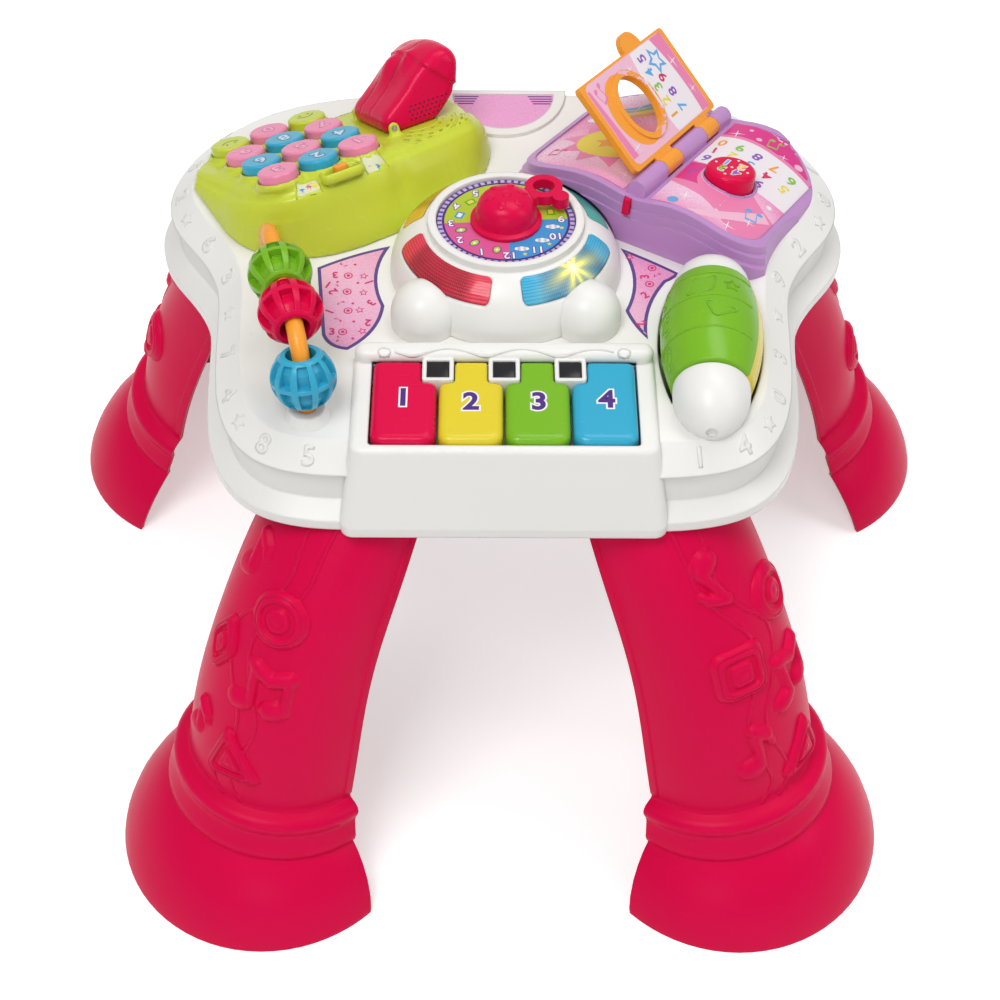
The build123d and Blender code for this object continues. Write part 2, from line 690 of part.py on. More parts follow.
# ---------------------------------------------------------------------------------------------------
# Clock dome
# ---------------------------------------------------------------------------------------------------
dome_tilt = radians(dome_tilt_deg)
dome_plane = Plane(origin=(dome_centre[0], dome_centre[1], deck_z), x_dir=(1, 0, 0),
                   z_dir=(0, sin(dome_tilt), cos(dome_tilt)))
dome_axis = Axis(dome_plane.origin, dome_plane.z_dir)
dome_section = Plane(origin=dome_plane.origin, x_dir=(1, 0, 0), z_dir=-dome_plane.y_dir)


def dome_solid(grow):
    """Solid of the dome, grown outwards."""
    side = dome_base_radius + grow
    with BuildPart() as body:
        with BuildSketch(dome_section):
            with BuildLine():
                Polyline((0, dome_top_height + grow), (0, -dome_skirt), (side, -dome_skirt), (side, 0))
                ThreePointArc((side, 0), (dome_shoulder[0] + 0.85 * grow, dome_shoulder[1] + 0.5 * grow),
                              (dome_top_radius + 0.45 * grow, dome_top_height + grow))
                Line((dome_top_radius + 0.45 * grow, dome_top_height + grow), (0, dome_top_height + grow))
            make_face()
        revolve(axis=dome_axis)
    return body.part


def window_prism(start_deg, end_deg, grow):
    """Sector prism of a light window along the dome axis."""
    with BuildPart() as body:
        with BuildSketch(dome_plane) as sector:
            with BuildLine():
                inner = CenterArc((0, 0), window_inner_radius, start_deg, end_deg - start_deg)
                outer = CenterArc((0, 0), window_outer_radius, start_deg, end_deg - start_deg)
                Line(inner @ 0, outer @ 0)
                Line(inner @ 1, outer @ 1)
            make_face()
            fillet(sector.vertices(), 3.0)
            offset(amount=grow)
        extrude(amount=60)
    return body.part


window_sectors = {
    "window_red": (180 + window_gap_side_deg, 270 - window_gap_front_deg),
    "window_blue": (270 + window_gap_front_deg, 360 - window_gap_side_deg),
    "window_teal": (window_gap_side_deg, 90 - window_gap_front_deg),
    "window_amber": (90 + window_gap_front_deg, 180 - window_gap_side_deg),
}
with BuildPart() as dome_housing:
    add(dome_solid(0.0))
    for side in (-1, 1):
        x, y = dome_centre[0] + side * bulge_centre[0], dome_centre[1] + bulge_centre[1]
        with BuildSketch(Plane.XY.offset(deck_z)):
            with Locations((x, y)):
                Circle(bulge_radius)
        extrude(amount=bulge_height - bulge_radius)
        with Locations((x, y, deck_z + bulge_height - bulge_radius)):
            Sphere(bulge_radius)
    split(bisect_by=Plane.XY.offset(deck_z), keep=Keep.TOP)
    add(dome_solid(-dome_wall), mode=Mode.SUBTRACT)
    with BuildSketch(dome_plane.offset(dome_top_height)):
        Circle(dial_radius + seat_gap + collar_width)
        Circle(dial_radius + seat_gap, mode=Mode.SUBTRACT)
    extrude(amount=collar_rise)
    for start_deg, end_deg in window_sectors.values():
        add(window_prism(start_deg, end_deg, 0.0), mode=Mode.SUBTRACT)
    with BuildSketch(dome_plane):
        Circle(axle_radius + shaft_gap)
    extrude(amount=60, mode=Mode.SUBTRACT)
save(dome_housing.part, "dome_housing")
for window_name, (start_deg, end_deg) in window_sectors.items():
    with BuildPart() as window:
        add(dome_solid(0.3))
        add(dome_solid(-dome_wall), mode=Mode.SUBTRACT)
        add(window_prism(start_deg, end_deg, -seat_gap), mode=Mode.INTERSECT)
        with BuildPart(mode=Mode.PRIVATE) as flange:
            add(dome_solid(-dome_wall - 0.05))
            add(dome_solid(-dome_wall - 1.6), mode=Mode.SUBTRACT)
            add(window_prism(start_deg, end_deg, 1.6), mode=Mode.INTERSECT)
        with BuildPart(mode=Mode.PRIVATE) as neck:
            add(dome_solid(-dome_wall + 0.1))
            add(dome_solid(-dome_wall - 0.1), mode=Mode.SUBTRACT)
            add(window_prism(start_deg, end_deg, -seat_gap), mode=Mode.INTERSECT)
        add(flange.part)
        add(neck.part)
    save(window.part, window_name)
with BuildPart() as dial_plate:
    with BuildSketch(dome_plane.offset(dome_top_height)):
        Circle(dial_radius)
        Circle(axle_radius + shaft_gap, mode=Mode.SUBTRACT)
    extrude(amount=dial_thickness)
save(dial_plate.part, "dial_plate")

# spinner: a knob with a ring handle
spinner_base = dome_top_height + dial_thickness + clearance
spinner_plane = dome_plane.offset(spinner_base)
with BuildPart() as spinner:
    with BuildSketch(dome_section):
        with BuildLine():
            low = spinner_base
            Polyline((0, low + knob_height), (0, low), (knob_flange_radius, low),
                     (knob_flange_radius, low + knob_flange_height - 1), (knob_radius, low + knob_flange_height))
            Spline((knob_radius, low + knob_flange_height), (knob_radius * 0.95, low + knob_height * 0.48),
                   (knob_radius * 0.83, low + knob_height * 0.76), (knob_radius * 0.58, low + knob_height * 0.94),
                   (knob_radius * 0.25, low + knob_height))
            Line((knob_radius * 0.25, low + knob_height), (0, low + knob_height))
        make_face()
    revolve(axis=dome_axis)
    ring_angle, hook_angle = radians(knob_angle_deg), radians(hook_angle_deg)
    ring_place = (ring_centre_radius * cos(ring_angle), ring_centre_radius * sin(ring_angle))
    hook_place = (hook_place_radius * cos(hook_angle), hook_place_radius * sin(hook_angle))
    with BuildSketch(spinner_plane.offset(ring_low)) as handle:
        with Locations(ring_place):
            Circle(ring_outer_radius)
        with Locations(hook_place):
            Circle(hook_radius)
        with Locations(Location((0, 0), knob_angle_deg)):
            with Locations((ring_centre_radius / 2, 0)):
                Rectangle(ring_centre_radius, 11)
    extrude(amount=ring_high - ring_low)
    with BuildSketch(spinner_plane.offset(ring_low)):
        with Locations(ring_place):
            Circle(ring_hole_radius)
    extrude(amount=ring_high - ring_low, mode=Mode.SUBTRACT)
    with BuildSketch(dome_plane.offset(dome_top_height - dome_wall - axle_reach)):
        Circle(axle_radius)
    extrude(amount=axle_reach + dome_wall + dial_thickness + 1)
save(spinner.part, "spinner")
with BuildPart() as spinner_clip:
    with BuildSketch(dome_plane.offset(dome_top_height - dome_wall - clearance - 2.0)):
        Circle(axle_radius + 4)
        Circle(axle_radius + 0.05, mode=Mode.SUBTRACT)
    extrude(amount=2.0)
save(spinner_clip.part, "spinner_clip")

# ---------------------------------------------------------------------------------------------------
# Phone
# ---------------------------------------------------------------------------------------------------
phone_deck = key_plane.offset(-phone_deck_drop)
phone_floor = Plane(origin=(keypad_centre[0], keypad_centre[1], deck_z),
                    x_dir=(cos(radians(phone_yaw_deg)), sin(radians(phone_yaw_deg)), 0), z_dir=(0, 0, 1))


def phone_block(inset, drop, edge_radius=0.0):
    """Tapered block of the phone, inset all round and cut off below its sloping top."""
    with BuildPart() as body:
        with BuildSketch(phone_floor) as foot_print:
            Polygon(*phone_outline, align=None)
            for corner, radius in zip(phone_outline, phone_corner_radii):
                fillet(foot_print.vertices().sort_by_distance((corner[0], corner[1], 0))[0], radius)
            if inset:
                offset(amount=-inset)
        extrude(amount=62, taper=phone_taper_deg)
        split(bisect_by=key_plane.offset(-drop), keep=Keep.BOTTOM)
        if edge_radius:
            tops = [face for face in body.faces() if face.normal_at().dot(key_plane.z_dir) > 0.999]
            fillet(tops[0].edges().filter_by_position(Axis.Z, deck_z + 4.0, 400.0), edge_radius)
        add(rear_trim(inset), mode=Mode.INTERSECT)
    return body.part


def rear_trim(inset):
    """Prism of the play deck that trims the phone and the book at the rear."""
    height = 62.0
    with BuildPart() as body:
        add(rim_sketch(deck_z, deck_inset + 1.0 + inset))
        add(rim_sketch(deck_z + height, deck_inset + 1.0 + inset + height * tan(radians(rear_taper_deg))))
        loft(ruled=True)
    return body.part


def plate_frame(gap):
    """Prism of the name plate frame, grown by a gap."""
    with BuildPart() as body:
        with BuildSketch(Plane.XY.offset(deck_z - wall)):
            with BuildLine():
                EllipticalCenterArc((0, plate_rear_y), plate_half_width + gap, plate_depth + gap,
                                    start_angle=180, arc_size=180)
                Polyline((plate_half_width + gap, plate_rear_y), (plate_half_width + gap, plate_rear_y + 30),
                         (-plate_half_width - gap, plate_rear_y + 30), (-plate_half_width - gap, plate_rear_y))
            make_face()
        extrude(amount=80)
    return body.part


slider_low = slider_place[0] - slider_slot_length / 2
with BuildPart() as phone_base:
    add(phone_block(0.0, phone_deck_drop, phone_edge_radius))
    add(plate_frame(1.5), mode=Mode.SUBTRACT)
    add(dome_solid(1.5), mode=Mode.SUBTRACT)
    with BuildSketch(phone_deck):
        with Locations(*phone_key_places):
            Circle(plinth_radius)
        Rectangle(2 * phone_key_pitch, 3 * phone_key_pitch)
    extrude(amount=phone_deck_drop - plinth_drop, taper=15)
    with BuildPart(mode=Mode.PRIVATE) as slider_bed:
        with BuildSketch(phone_deck):
            with Locations(slider_place):
                SlotOverall(slider_slot_length + 5, slider_slot_width + 4)
        extrude(amount=1.2)
    add(slider_bed.part)
    split(bisect_by=Plane.XY.offset(deck_z), keep=Keep.TOP)
    with BuildSketch(Plane.XY.offset(deck_z)):
        with Locations(arch_rear):
            Circle(boss_radius + 0.6)
    extrude(amount=boss_height + 1.0, mode=Mode.SUBTRACT)
    add(phone_block(wall, phone_key_height + phone_key_travel + clearance + wall), mode=Mode.SUBTRACT)
    with BuildSketch(key_plane):
        with Locations(*phone_key_places):
            Circle(phone_key_radius + clearance)
    extrude(amount=-phone_well_depth, mode=Mode.SUBTRACT)
    with BuildSketch(phone_deck.offset(1.2)):
        with Locations(slider_place):
            SlotOverall(slider_slot_length, slider_slot_width)
    extrude(amount=-slider_rise, mode=Mode.SUBTRACT)
    # ears and hinge rod of the handset
    for low, high in ((handset_low - ear_width - clearance, handset_low - clearance),
                      (handset_high + clearance, handset_high + clearance + ear_width)):
        with BuildSketch(side_plane(handset_plane(), low)):
            with Locations((handset_hinge[0], (handset_hinge[1] - 2.0) / 2)):
                Rectangle(2 * ear_radius, handset_hinge[1] + 2.0)
            with Locations(handset_hinge):
                Circle(ear_radius)
        extrude(amount=-(high - low))
    with BuildSketch(side_plane(handset_plane(), handset_low - ear_width - 2)):
        with Locations(handset_hinge):
            Circle(hinge_rod_radius)
    extrude(amount=-(handset_high - handset_low + 2 * ear_width + 4), mode=Mode.SUBTRACT)
save(phone_base.part, "phone_base")
print("phone base solids", len(phone_base.part.solids()))

phone_key_names = ["1", "2", "3", "4", "5", "6", "7", "8", "9", "call", "0", "end"]
for key_name, (u, v) in zip(phone_key_names, phone_key_places):
    with BuildPart() as phone_key:
        with BuildSketch(key_plane.offset(-phone_key_height)):
            with Locations((u, v)):
                Circle(phone_key_radius)
        extrude(amount=phone_key_height)
        fillet(phone_key.faces().sort_by(Axis(key_plane.origin, key_plane.z_dir))[-1].edges(), 1.6)
    save(phone_key.part, f"phone_key_{key_name}")

with BuildPart() as slider_switch:
    with BuildSketch(phone_deck.offset(1.2 - slider_rise + clearance)):
        with Locations(slider_place):
            SlotOverall(slider_length, slider_slot_width - 2 * clearance)
    extrude(amount=2 * slider_rise - clearance)
    fillet(slider_switch.faces().sort_by(Axis(key_plane.origin, key_plane.z_dir))[-1].edges(), 0.9)
save(slider_switch.part, "slider_switch")

# handset lying in its cradle, and the rod it lifts on
with BuildPart() as handset:
    with BuildSketch(side_plane(handset_plane(), handset_low)) as handset_side:
        Polygon(*handset_profile, align=None)
        for corner, radius in zip(handset_profile, handset_profile_radii):
            fillet(handset_side.vertices().sort_by_distance((corner[0], corner[1], 0))[0], radius)
    extrude(amount=-(handset_high - handset_low))
    flanks = handset.faces().sort_by(Axis(handset_plane().origin, handset_plane().y_dir))
    fillet(flanks[0].edges() + flanks[-1].edges(), handset_edge_radius)
    with BuildSketch(side_plane(handset_plane(), handset_low - 1)):
        with Locations(handset_hinge):
            Circle(hinge_rod_radius + shaft_gap)
    extrude(amount=-(handset_high - handset_low + 2), mode=Mode.SUBTRACT)
save(handset.part, "handset")
with BuildPart() as handset_rod:
    with BuildSketch(side_plane(handset_plane(), handset_low - clearance - ear_width)):
        with Locations(handset_hinge):
            Circle(hinge_rod_radius)
    extrude(amount=-(handset_high - handset_low + 2 * ear_width + 2 * clearance))
save(handset_rod.part, "handset_rod")

# ---------------------------------------------------------------------------------------------------
# Book
# ---------------------------------------------------------------------------------------------------
book_plane = tilted_plane(book_origin, book_yaw_deg, book_slope_deg)
book_floor = Plane(origin=(book_origin[0], book_origin[1], deck_z - 20),
                   x_dir=(cos(radians(book_yaw_deg)), sin(radians(book_yaw_deg)), 0), z_dir=(0, 0, 1))
spine_axis = Axis(book_plane.origin + book_plane.z_dir * spine_height, book_plane.y_dir)


def page_block(drop, grow, end_grow):
    """Block under the open pages: the wave of the pages, lowered by a drop and grown sideways and endways."""
    bottom = -70.0
    with BuildPart() as body:
        with BuildSketch(side_plane(book_plane, -60)):
            with BuildLine():
                left, right = book_left - grow, book_right + grow
                Spline((left, -page_outer_drop - drop), (0.62 * left, page_crown * 0.2 - drop),
                       (0.27 * left, page_crown - drop), (0, -0.5 - drop), (0.27 * right, page_crown - drop),
                       (0.62 * right, page_crown * 0.2 - drop), (right, -page_outer_drop - drop))
                Polyline((right, -page_outer_drop - drop), (right, bottom), (left, bottom),
                         (left, -page_outer_drop - drop))
            make_face()
        extrude(amount=-260)
        with BuildPart(mode=Mode.INTERSECT):
            with BuildSketch(book_floor):
                run = book_length * cos(radians(book_slope_deg))
                with Locations(((book_left + book_right) / 2, run / 2)):
                    RectangleRounded(book_right - book_left + 2 * grow, run + 2 * book_margin + 2 * end_grow,
                                     book_corner_radius + end_grow)
            extrude(amount=80)
    return body.part


with BuildPart() as book_base:
    for layer in range(3):
        add(page_block(layer * page_step, layer * page_ledge_side, layer * page_ledge_end))
    add(rear_trim(0.0), mode=Mode.INTERSECT)
    split(bisect_by=Plane.XY.offset(deck_z), keep=Keep.TOP)
    add(plate_frame(1.5), mode=Mode.SUBTRACT)
    add(dome_solid(1.5), mode=Mode.SUBTRACT)
    add(barrel(roller_gap, 2.0), mode=Mode.SUBTRACT)
    add(roller_nose(1, rear_cap_length + 1.5, rear_cap_radius + 1.0), mode=Mode.SUBTRACT)
    # shallow beds of the two printed pages
    with BuildPart(mode=Mode.PRIVATE) as beds:
        add(page_block(-6.0, -page_border, -page_border))
        add(page_block(page_depth, 0.0, 0.0), mode=Mode.SUBTRACT)
        with BuildSketch(book_plane.offset(-30)):
            with Locations((0, book_length / 2)):
                Rectangle(2 * gutter, 2 * book_length)
        extrude(amount=60, mode=Mode.SUBTRACT)
    add(beds.part, mode=Mode.SUBTRACT)
    # room inside
    with BuildPart(mode=Mode.PRIVATE) as book_room:
        add(page_block(wall - button_floor + page_crown, -wall - 1.0, -wall - 1.0))
        add(rear_trim(wall), mode=Mode.INTERSECT)
        split(bisect_by=Plane.XY.offset(deck_z), keep=Keep.TOP)
        add(dome_solid(1.5 + wall), mode=Mode.SUBTRACT)
        add(barrel(roller_gap + wall, 2.0 + wall), mode=Mode.SUBTRACT)
        add(plate_frame(1.5 + wall), mode=Mode.SUBTRACT)
    add(book_room.part, mode=Mode.SUBTRACT)
    # spine knuckles
    for low, high in ((spine_cuts[0], spine_cuts[1]), (spine_cuts[2], spine_cuts[3]), (spine_cuts[4], spine_cuts[5])):
        with BuildSketch(side_plane(book_plane, low)):
            with Locations((0, spine_height)):
                Circle(spine_radius)
            with Locations((0, (spine_height - 3.0) / 2)):
                Rectangle(2 * spine_radius, spine_height + 3.0)
        extrude(amount=-(high - low))
    for low, high in ((spine_cuts[1], spine_cuts[2]), (spine_cuts[3], spine_cuts[4])):
        with BuildSketch(side_plane(book_plane, low)):
            with Locations((0, spine_height)):
                Circle(spine_radius + clearance + 0.2)
        extrude(amount=-(high - low), mode=Mode.SUBTRACT)
    with BuildSketch(side_plane(book_plane, spine_cuts[0] + 3)):
        with Locations((0, spine_height)):
            Circle(spine_pin_radius)
    extrude(amount=-(spine_cuts[5] - spine_cuts[0] - 6), mode=Mode.SUBTRACT)
    # well of the button
    with BuildSketch(book_plane.offset(button_floor)):
        with Locations(button_place):
            Circle(button_radius + clearance)
    extrude(amount=40, mode=Mode.SUBTRACT)
    # slot of the ribbon
    with BuildSketch(book_plane.offset(-ribbon_length)):
        with Locations((ribbon_place, -book_margin)):
            Rectangle(ribbon_width + 2 * seat_gap, 2 * ribbon_depth)
    extrude(amount=ribbon_length + 3, mode=Mode.SUBTRACT)
save(book_base.part, "book_base")
print("book base solids", len(book_base.part.solids()))

for page_name, side in (("page_left", -1), ("page_right", 1)):
    with BuildPart() as page:
        add(page_block(0.1, -page_border - seat_gap, -page_border - seat_gap))
        add(page_block(page_depth - page_glue, 0.0, 0.0), mode=Mode.SUBTRACT)
        with BuildPart(mode=Mode.INTERSECT):
            with BuildSketch(book_plane.offset(-30)):
                with Locations((side * (100 + gutter + seat_gap), book_length / 2)):
                    Rectangle(200, 2 * book_length)
            extrude(amount=60)
        add(rear_trim(page_border), mode=Mode.INTERSECT)
        with BuildSketch(book_plane.offset(-20)):
            with Locations(button_place):
                Circle(button_radius + clearance)
        extrude(amount=60, mode=Mode.SUBTRACT)
        add(dome_solid(1.5 + page_border), mode=Mode.SUBTRACT)
        add(barrel(roller_gap + page_border, 2.0 + page_border), mode=Mode.SUBTRACT)
        add(plate_frame(1.5 + page_border), mode=Mode.SUBTRACT)
    save(page.part, page_name)
    print(page_name, len(page.part.solids()))

with BuildPart() as book_button:
    with BuildSketch(book_plane.offset(button_seat - button_height)):
        with Locations(button_place):
            Circle(button_radius)
    extrude(amount=2 * button_height)
    fillet(book_button.faces().sort_by(Axis(book_plane.origin, book_plane.z_dir))[-1].edges(), 3.0)
save(book_button.part, "book_button")

with BuildPart() as spine_pin:
    with BuildSketch(side_plane(book_plane, spine_cuts[0] + 3)):
        with Locations((0, spine_height)):
            Circle(spine_pin_radius)
    extrude(amount=-(spine_cuts[5] - spine_cuts[0] - 6))
save(spine_pin.part, "spine_pin")

with BuildPart() as ribbon:
    with BuildSketch(book_plane.offset(-ribbon_length + seat_gap)):
        with Locations((ribbon_place, -book_margin)):
            Rectangle(ribbon_width, 2 * ribbon_depth - seat_gap)
    extrude(amount=ribbon_length - 2 * seat_gap - 1)
save(ribbon.part, "ribbon")

# turning leaf: a plate with an oval window, standing open over the left page
leaf_plane = Plane(origin=spine_axis.position, x_dir=book_plane.y_dir,
                   z_dir=book_plane.z_dir * cos(radians(leaf_angle_deg)) + book_plane.x_dir * sin(radians(leaf_angle_deg)))
with BuildPart() as book_leaf:
    with BuildSketch(leaf_plane.offset(-leaf_thickness / 2)) as leaf_outline:
        with Locations(((leaf_start + leaf_end) / 2, leaf_inner + (leaf_reach - leaf_inner) / 2)):
            RectangleRounded(leaf_end - leaf_start, leaf_reach - leaf_inner, 3)
        with Locations((leaf_start + leaf_tab_place, leaf_reach)):
            Circle(leaf_tab_radius)
    extrude(amount=leaf_thickness)
    window_place = (leaf_start + leaf_window_place[0], leaf_window_place[1])
    with BuildSketch(leaf_plane):
        with Locations(window_place):
            Ellipse(leaf_window_radii[0] + leaf_ring_width, leaf_window_radii[1] + leaf_ring_width)
    extrude(amount=leaf_thickness / 2 + leaf_ring_rise)
    with BuildSketch(leaf_plane.offset(-leaf_thickness)):
        with Locations(window_place):
            Ellipse(*leaf_window_radii)
    extrude(amount=3 * leaf_thickness, mode=Mode.SUBTRACT)
    for low, high in ((spine_cuts[1], spine_cuts[2]), (spine_cuts[3], spine_cuts[4])):
        with BuildSketch(side_plane(book_plane, low + clearance)):
            with Locations((0, spine_height)):
                Circle(spine_radius)
        extrude(amount=-(high - low - 2 * clearance))
        with BuildSketch(leaf_plane.offset(-leaf_thickness / 2)):
            with Locations(((low + high) / 2, leaf_inner / 2 + 0.5)):
                Rectangle(high - low - 2 * clearance, leaf_inner + 1.0)
        extrude(amount=leaf_thickness)
    with BuildSketch(side_plane(book_plane, -5)):
        with Locations((0, spine_height)):
            Circle(spine_pin_radius + shaft_gap)
    extrude(amount=-(book_length + 10), mode=Mode.SUBTRACT)
save(book_leaf.part, "book_leaf")
print("leaf solids", len(book_leaf.part.solids()))

# ---------------------------------------------------------------------------------------------------
# Stickers on the play deck
# ---------------------------------------------------------------------------------------------------
for sticker_name, corners in (("sticker_left", sticker_left), ("sticker_right", sticker_right)):
    with BuildPart() as sticker:
        with BuildSketch(Plane.XY.offset(deck_z)) as sticker_outline:
            Polygon(*corners, align=None)
            fillet(sticker_outline.vertices(), 2.0)
        extrude(amount=sticker_thickness)
    save(sticker.part, sticker_name)

# ---------------------------------------------------------------------------------------------------
# Underside: cover with the leg sockets, battery door, screws, speaker and board
# ---------------------------------------------------------------------------------------------------
socket_top_z = leg_top_z + seat_gap
with BuildPart() as bottom_cover:
    add(rim_sketch(lip_z, wall + seat_gap))
    extrude(amount=cover_thickness)
    for foot, angle_deg in leg_places.values():
        sleeve = leg_loft(foot, angle_deg, plug_stations, socket_wall + seat_gap, socket_wall + seat_gap)
        add(between(sleeve, lip_z, socket_top_z + socket_floor))
    for foot, angle_deg in leg_places.values():
        leg_room = leg_loft(foot, angle_deg, socket_stations, seat_gap, seat_gap)
        plug_room = leg_loft(foot, angle_deg, plug_stations, seat_gap, seat_gap)
        add(between(leg_room, lip_z - 1.0, leg_shoulder_z + seat_gap), mode=Mode.SUBTRACT)
        add(between(plug_room, lip_z - 1.0, socket_top_z), mode=Mode.SUBTRACT)
    # battery box
    with BuildSketch(Plane.XY.offset(lip_z)):
        with Locations(battery_place):
            RectangleRounded(battery_size[0] + 2 * wall, battery_size[1] + 2 * wall, 6)
    extrude(amount=battery_size[2] + wall)
    with BuildSketch(Plane.XY.offset(lip_z)):
        with Locations(battery_place):
            RectangleRounded(battery_size[0], battery_size[1], 4)
    extrude(amount=battery_size[2], mode=Mode.SUBTRACT)
    with BuildSketch(Plane.XY.offset(lip_z)):
        with Locations(battery_place):
            RectangleRounded(battery_size[0] + 3.6, battery_size[1] + 3.6, 5)
    extrude(amount=door_thickness, mode=Mode.SUBTRACT)
    # countersunk screw seats
    for x, y in screw_places:
        with BuildSketch(Plane.XY.offset(lip_z)):
            with Locations((x, y)):
                Circle(screw_head_radius + 0.6)
        extrude(amount=1.4, mode=Mode.SUBTRACT)
        with BuildSketch(Plane.XY.offset(lip_z)):
            with Locations((x, y)):
                Circle(screw_radius + 0.1)
        extrude(amount=cover_thickness + 1, mode=Mode.SUBTRACT)
    # speaker slots
    for row in range(-3, 4):
        slot_length = 2 * sqrt(speaker_radius ** 2 - (row * 6.0) ** 2) - 6
        with BuildSketch(Plane.XY.offset(lip_z - 1)):
            with Locations((speaker_place[0], speaker_place[1] + row * 6.0)):
                SlotOverall(slot_length, 2.6)
        extrude(amount=cover_thickness + 2, mode=Mode.SUBTRACT)
save(bottom_cover.part, "bottom_cover")
print("cover solids", len(bottom_cover.part.solids()))

with BuildPart() as battery_door:
    with BuildSketch(Plane.XY.offset(lip_z)):
        with Locations(battery_place):
            RectangleRounded(battery_size[0] + 3.6 - 2 * seat_gap, battery_size[1] + 3.6 - 2 * seat_gap, 4.75)
    extrude(amount=door_thickness - 0.1)
save(battery_door.part, "battery_door")

with BuildPart() as batteries:
    for index in range(3):
        x = battery_place[0] + (index - 1) * 15.5
        with BuildSketch(Plane.XZ.offset(-battery_place[1] - 25.2)):
            with Locations((x, lip_z + door_thickness + 8.0)):
                Circle(7.2)
        extrude(amount=49.0)
        with BuildSketch(Plane.XZ.offset(-battery_place[1] + 23.8)):
            with Locations((x, lip_z + door_thickness + 8.0)):
                Circle(2.6)
        extrude(amount=1.4)
save(batteries.part, "batteries")
print("batteries", batteries.part.bounding_box())

with BuildPart() as cover_screws:
    for x, y in screw_places:
        with BuildSketch(Plane.XY.offset(lip_z + 0.2)):
            with Locations((x, y)):
                Circle(screw_head_radius)
        extrude(amount=1.2)
        with BuildSketch(Plane.XY.offset(lip_z + 1.2)):
            with Locations((x, y)):
                Circle(screw_radius)
        extrude(amount=screw_length)
save(cover_screws.part, "cover_screws")

with BuildPart() as speaker:
    for low, high, radius in ((0.0, 2.0, speaker_radius), (2.0, 8.0, speaker_radius * 0.8), (8.0, 15.0, speaker_radius * 0.45)):
        with BuildSketch(Plane.XY.offset(lip_z + cover_thickness + low)):
            with Locations(speaker_place):
                Circle(radius)
        extrude(amount=high - low)
save(speaker.part, "speaker")

with BuildPart() as circuit_board:
    with BuildSketch(Plane.XY.offset(board_z)):
        with Locations(board_place):
            Rectangle(*board_size)
    extrude(amount=board_thickness)
    for dx, dy, width, depth, height in ((-25, 5, 14, 14, 2), (0, -8, 9, 18, 3), (22, 6, 12, 8, 5), (26, -10, 6, 6, 7)):
        with BuildSketch(Plane.XY.offset(board_z)):
            with Locations((board_place[0] + dx, board_place[1] + dy)):
                Rectangle(width, depth)
        extrude(amount=-height)
save(circuit_board.part, "circuit_board")
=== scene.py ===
"""Finish of the musical activity table: moulded plastics, printed sheets, raised shapes and small trim.

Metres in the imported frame. Shapes are drawn in millimetres on work planes and carried into the frame by them.
"""

import json
from math import atan2, cos, degrees, exp, hypot, pi, radians, sin

import bmesh
import bpy
from mathutils import Matrix, Vector
from mathutils.bvhtree import BVHTree
from mathutils.kdtree import KDTree


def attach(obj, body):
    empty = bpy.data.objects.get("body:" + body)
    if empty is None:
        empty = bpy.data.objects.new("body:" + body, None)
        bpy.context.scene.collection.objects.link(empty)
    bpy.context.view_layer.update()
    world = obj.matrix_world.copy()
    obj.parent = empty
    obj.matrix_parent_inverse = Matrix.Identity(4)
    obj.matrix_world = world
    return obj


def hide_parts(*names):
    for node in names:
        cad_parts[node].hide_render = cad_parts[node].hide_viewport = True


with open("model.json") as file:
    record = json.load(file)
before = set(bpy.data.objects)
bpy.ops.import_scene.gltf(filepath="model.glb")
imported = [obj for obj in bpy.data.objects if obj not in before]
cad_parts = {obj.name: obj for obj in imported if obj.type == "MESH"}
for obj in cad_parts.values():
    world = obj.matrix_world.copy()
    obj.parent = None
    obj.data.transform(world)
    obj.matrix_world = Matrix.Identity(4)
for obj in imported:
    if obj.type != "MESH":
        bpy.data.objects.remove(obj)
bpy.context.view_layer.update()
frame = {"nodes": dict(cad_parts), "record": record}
nodes = frame["nodes"]
MM = 0.001

# ---- Work planes, the same as in the model ----


def work_plane(origin, x_dir, z_dir):
    """Matrix that takes millimetres on a work plane to metres in the frame."""
    x_dir = Vector(x_dir).normalized()
    z_dir = Vector(z_dir)
    z_dir = (z_dir - x_dir * z_dir.dot(x_dir)).normalized()
    turn = Matrix((x_dir, z_dir.cross(x_dir), z_dir)).transposed().to_4x4()
    return Matrix.Scale(MM, 4) @ Matrix.Translation(Vector(origin)) @ turn


def level_plane(x, y, z, yaw=0.0):
    """Level work plane, turned about its z axis."""
    return work_plane((x, y, z), (cos(yaw), sin(yaw), 0), (0, 0, 1))


def tilted_plane(origin, yaw_deg, slope_deg):
    """Work plane whose y axis runs down to the rear and whose x axis is level."""
    yaw, slope = radians(yaw_deg), radians(slope_deg)
    x_dir = Vector((cos(yaw), sin(yaw), 0))
    y_dir = Vector((-sin(yaw) * cos(slope), cos(yaw) * cos(slope), -sin(slope)))
    return work_plane(origin, x_dir, x_dir.cross(y_dir))


def around(radius, angle_deg, x=0.0, y=0.0):
    """Place at a distance from a centre, in a direction."""
    return x + radius * cos(radians(angle_deg)), y + radius * sin(radians(angle_deg))


def raised(plane, height, x=0.0, y=0.0, turn_deg=0.0):
    """The work plane moved along itself and turned about its own z axis."""
    return plane @ Matrix.Translation((x, y, height)) @ Matrix.Rotation(radians(turn_deg), 4, "Z")


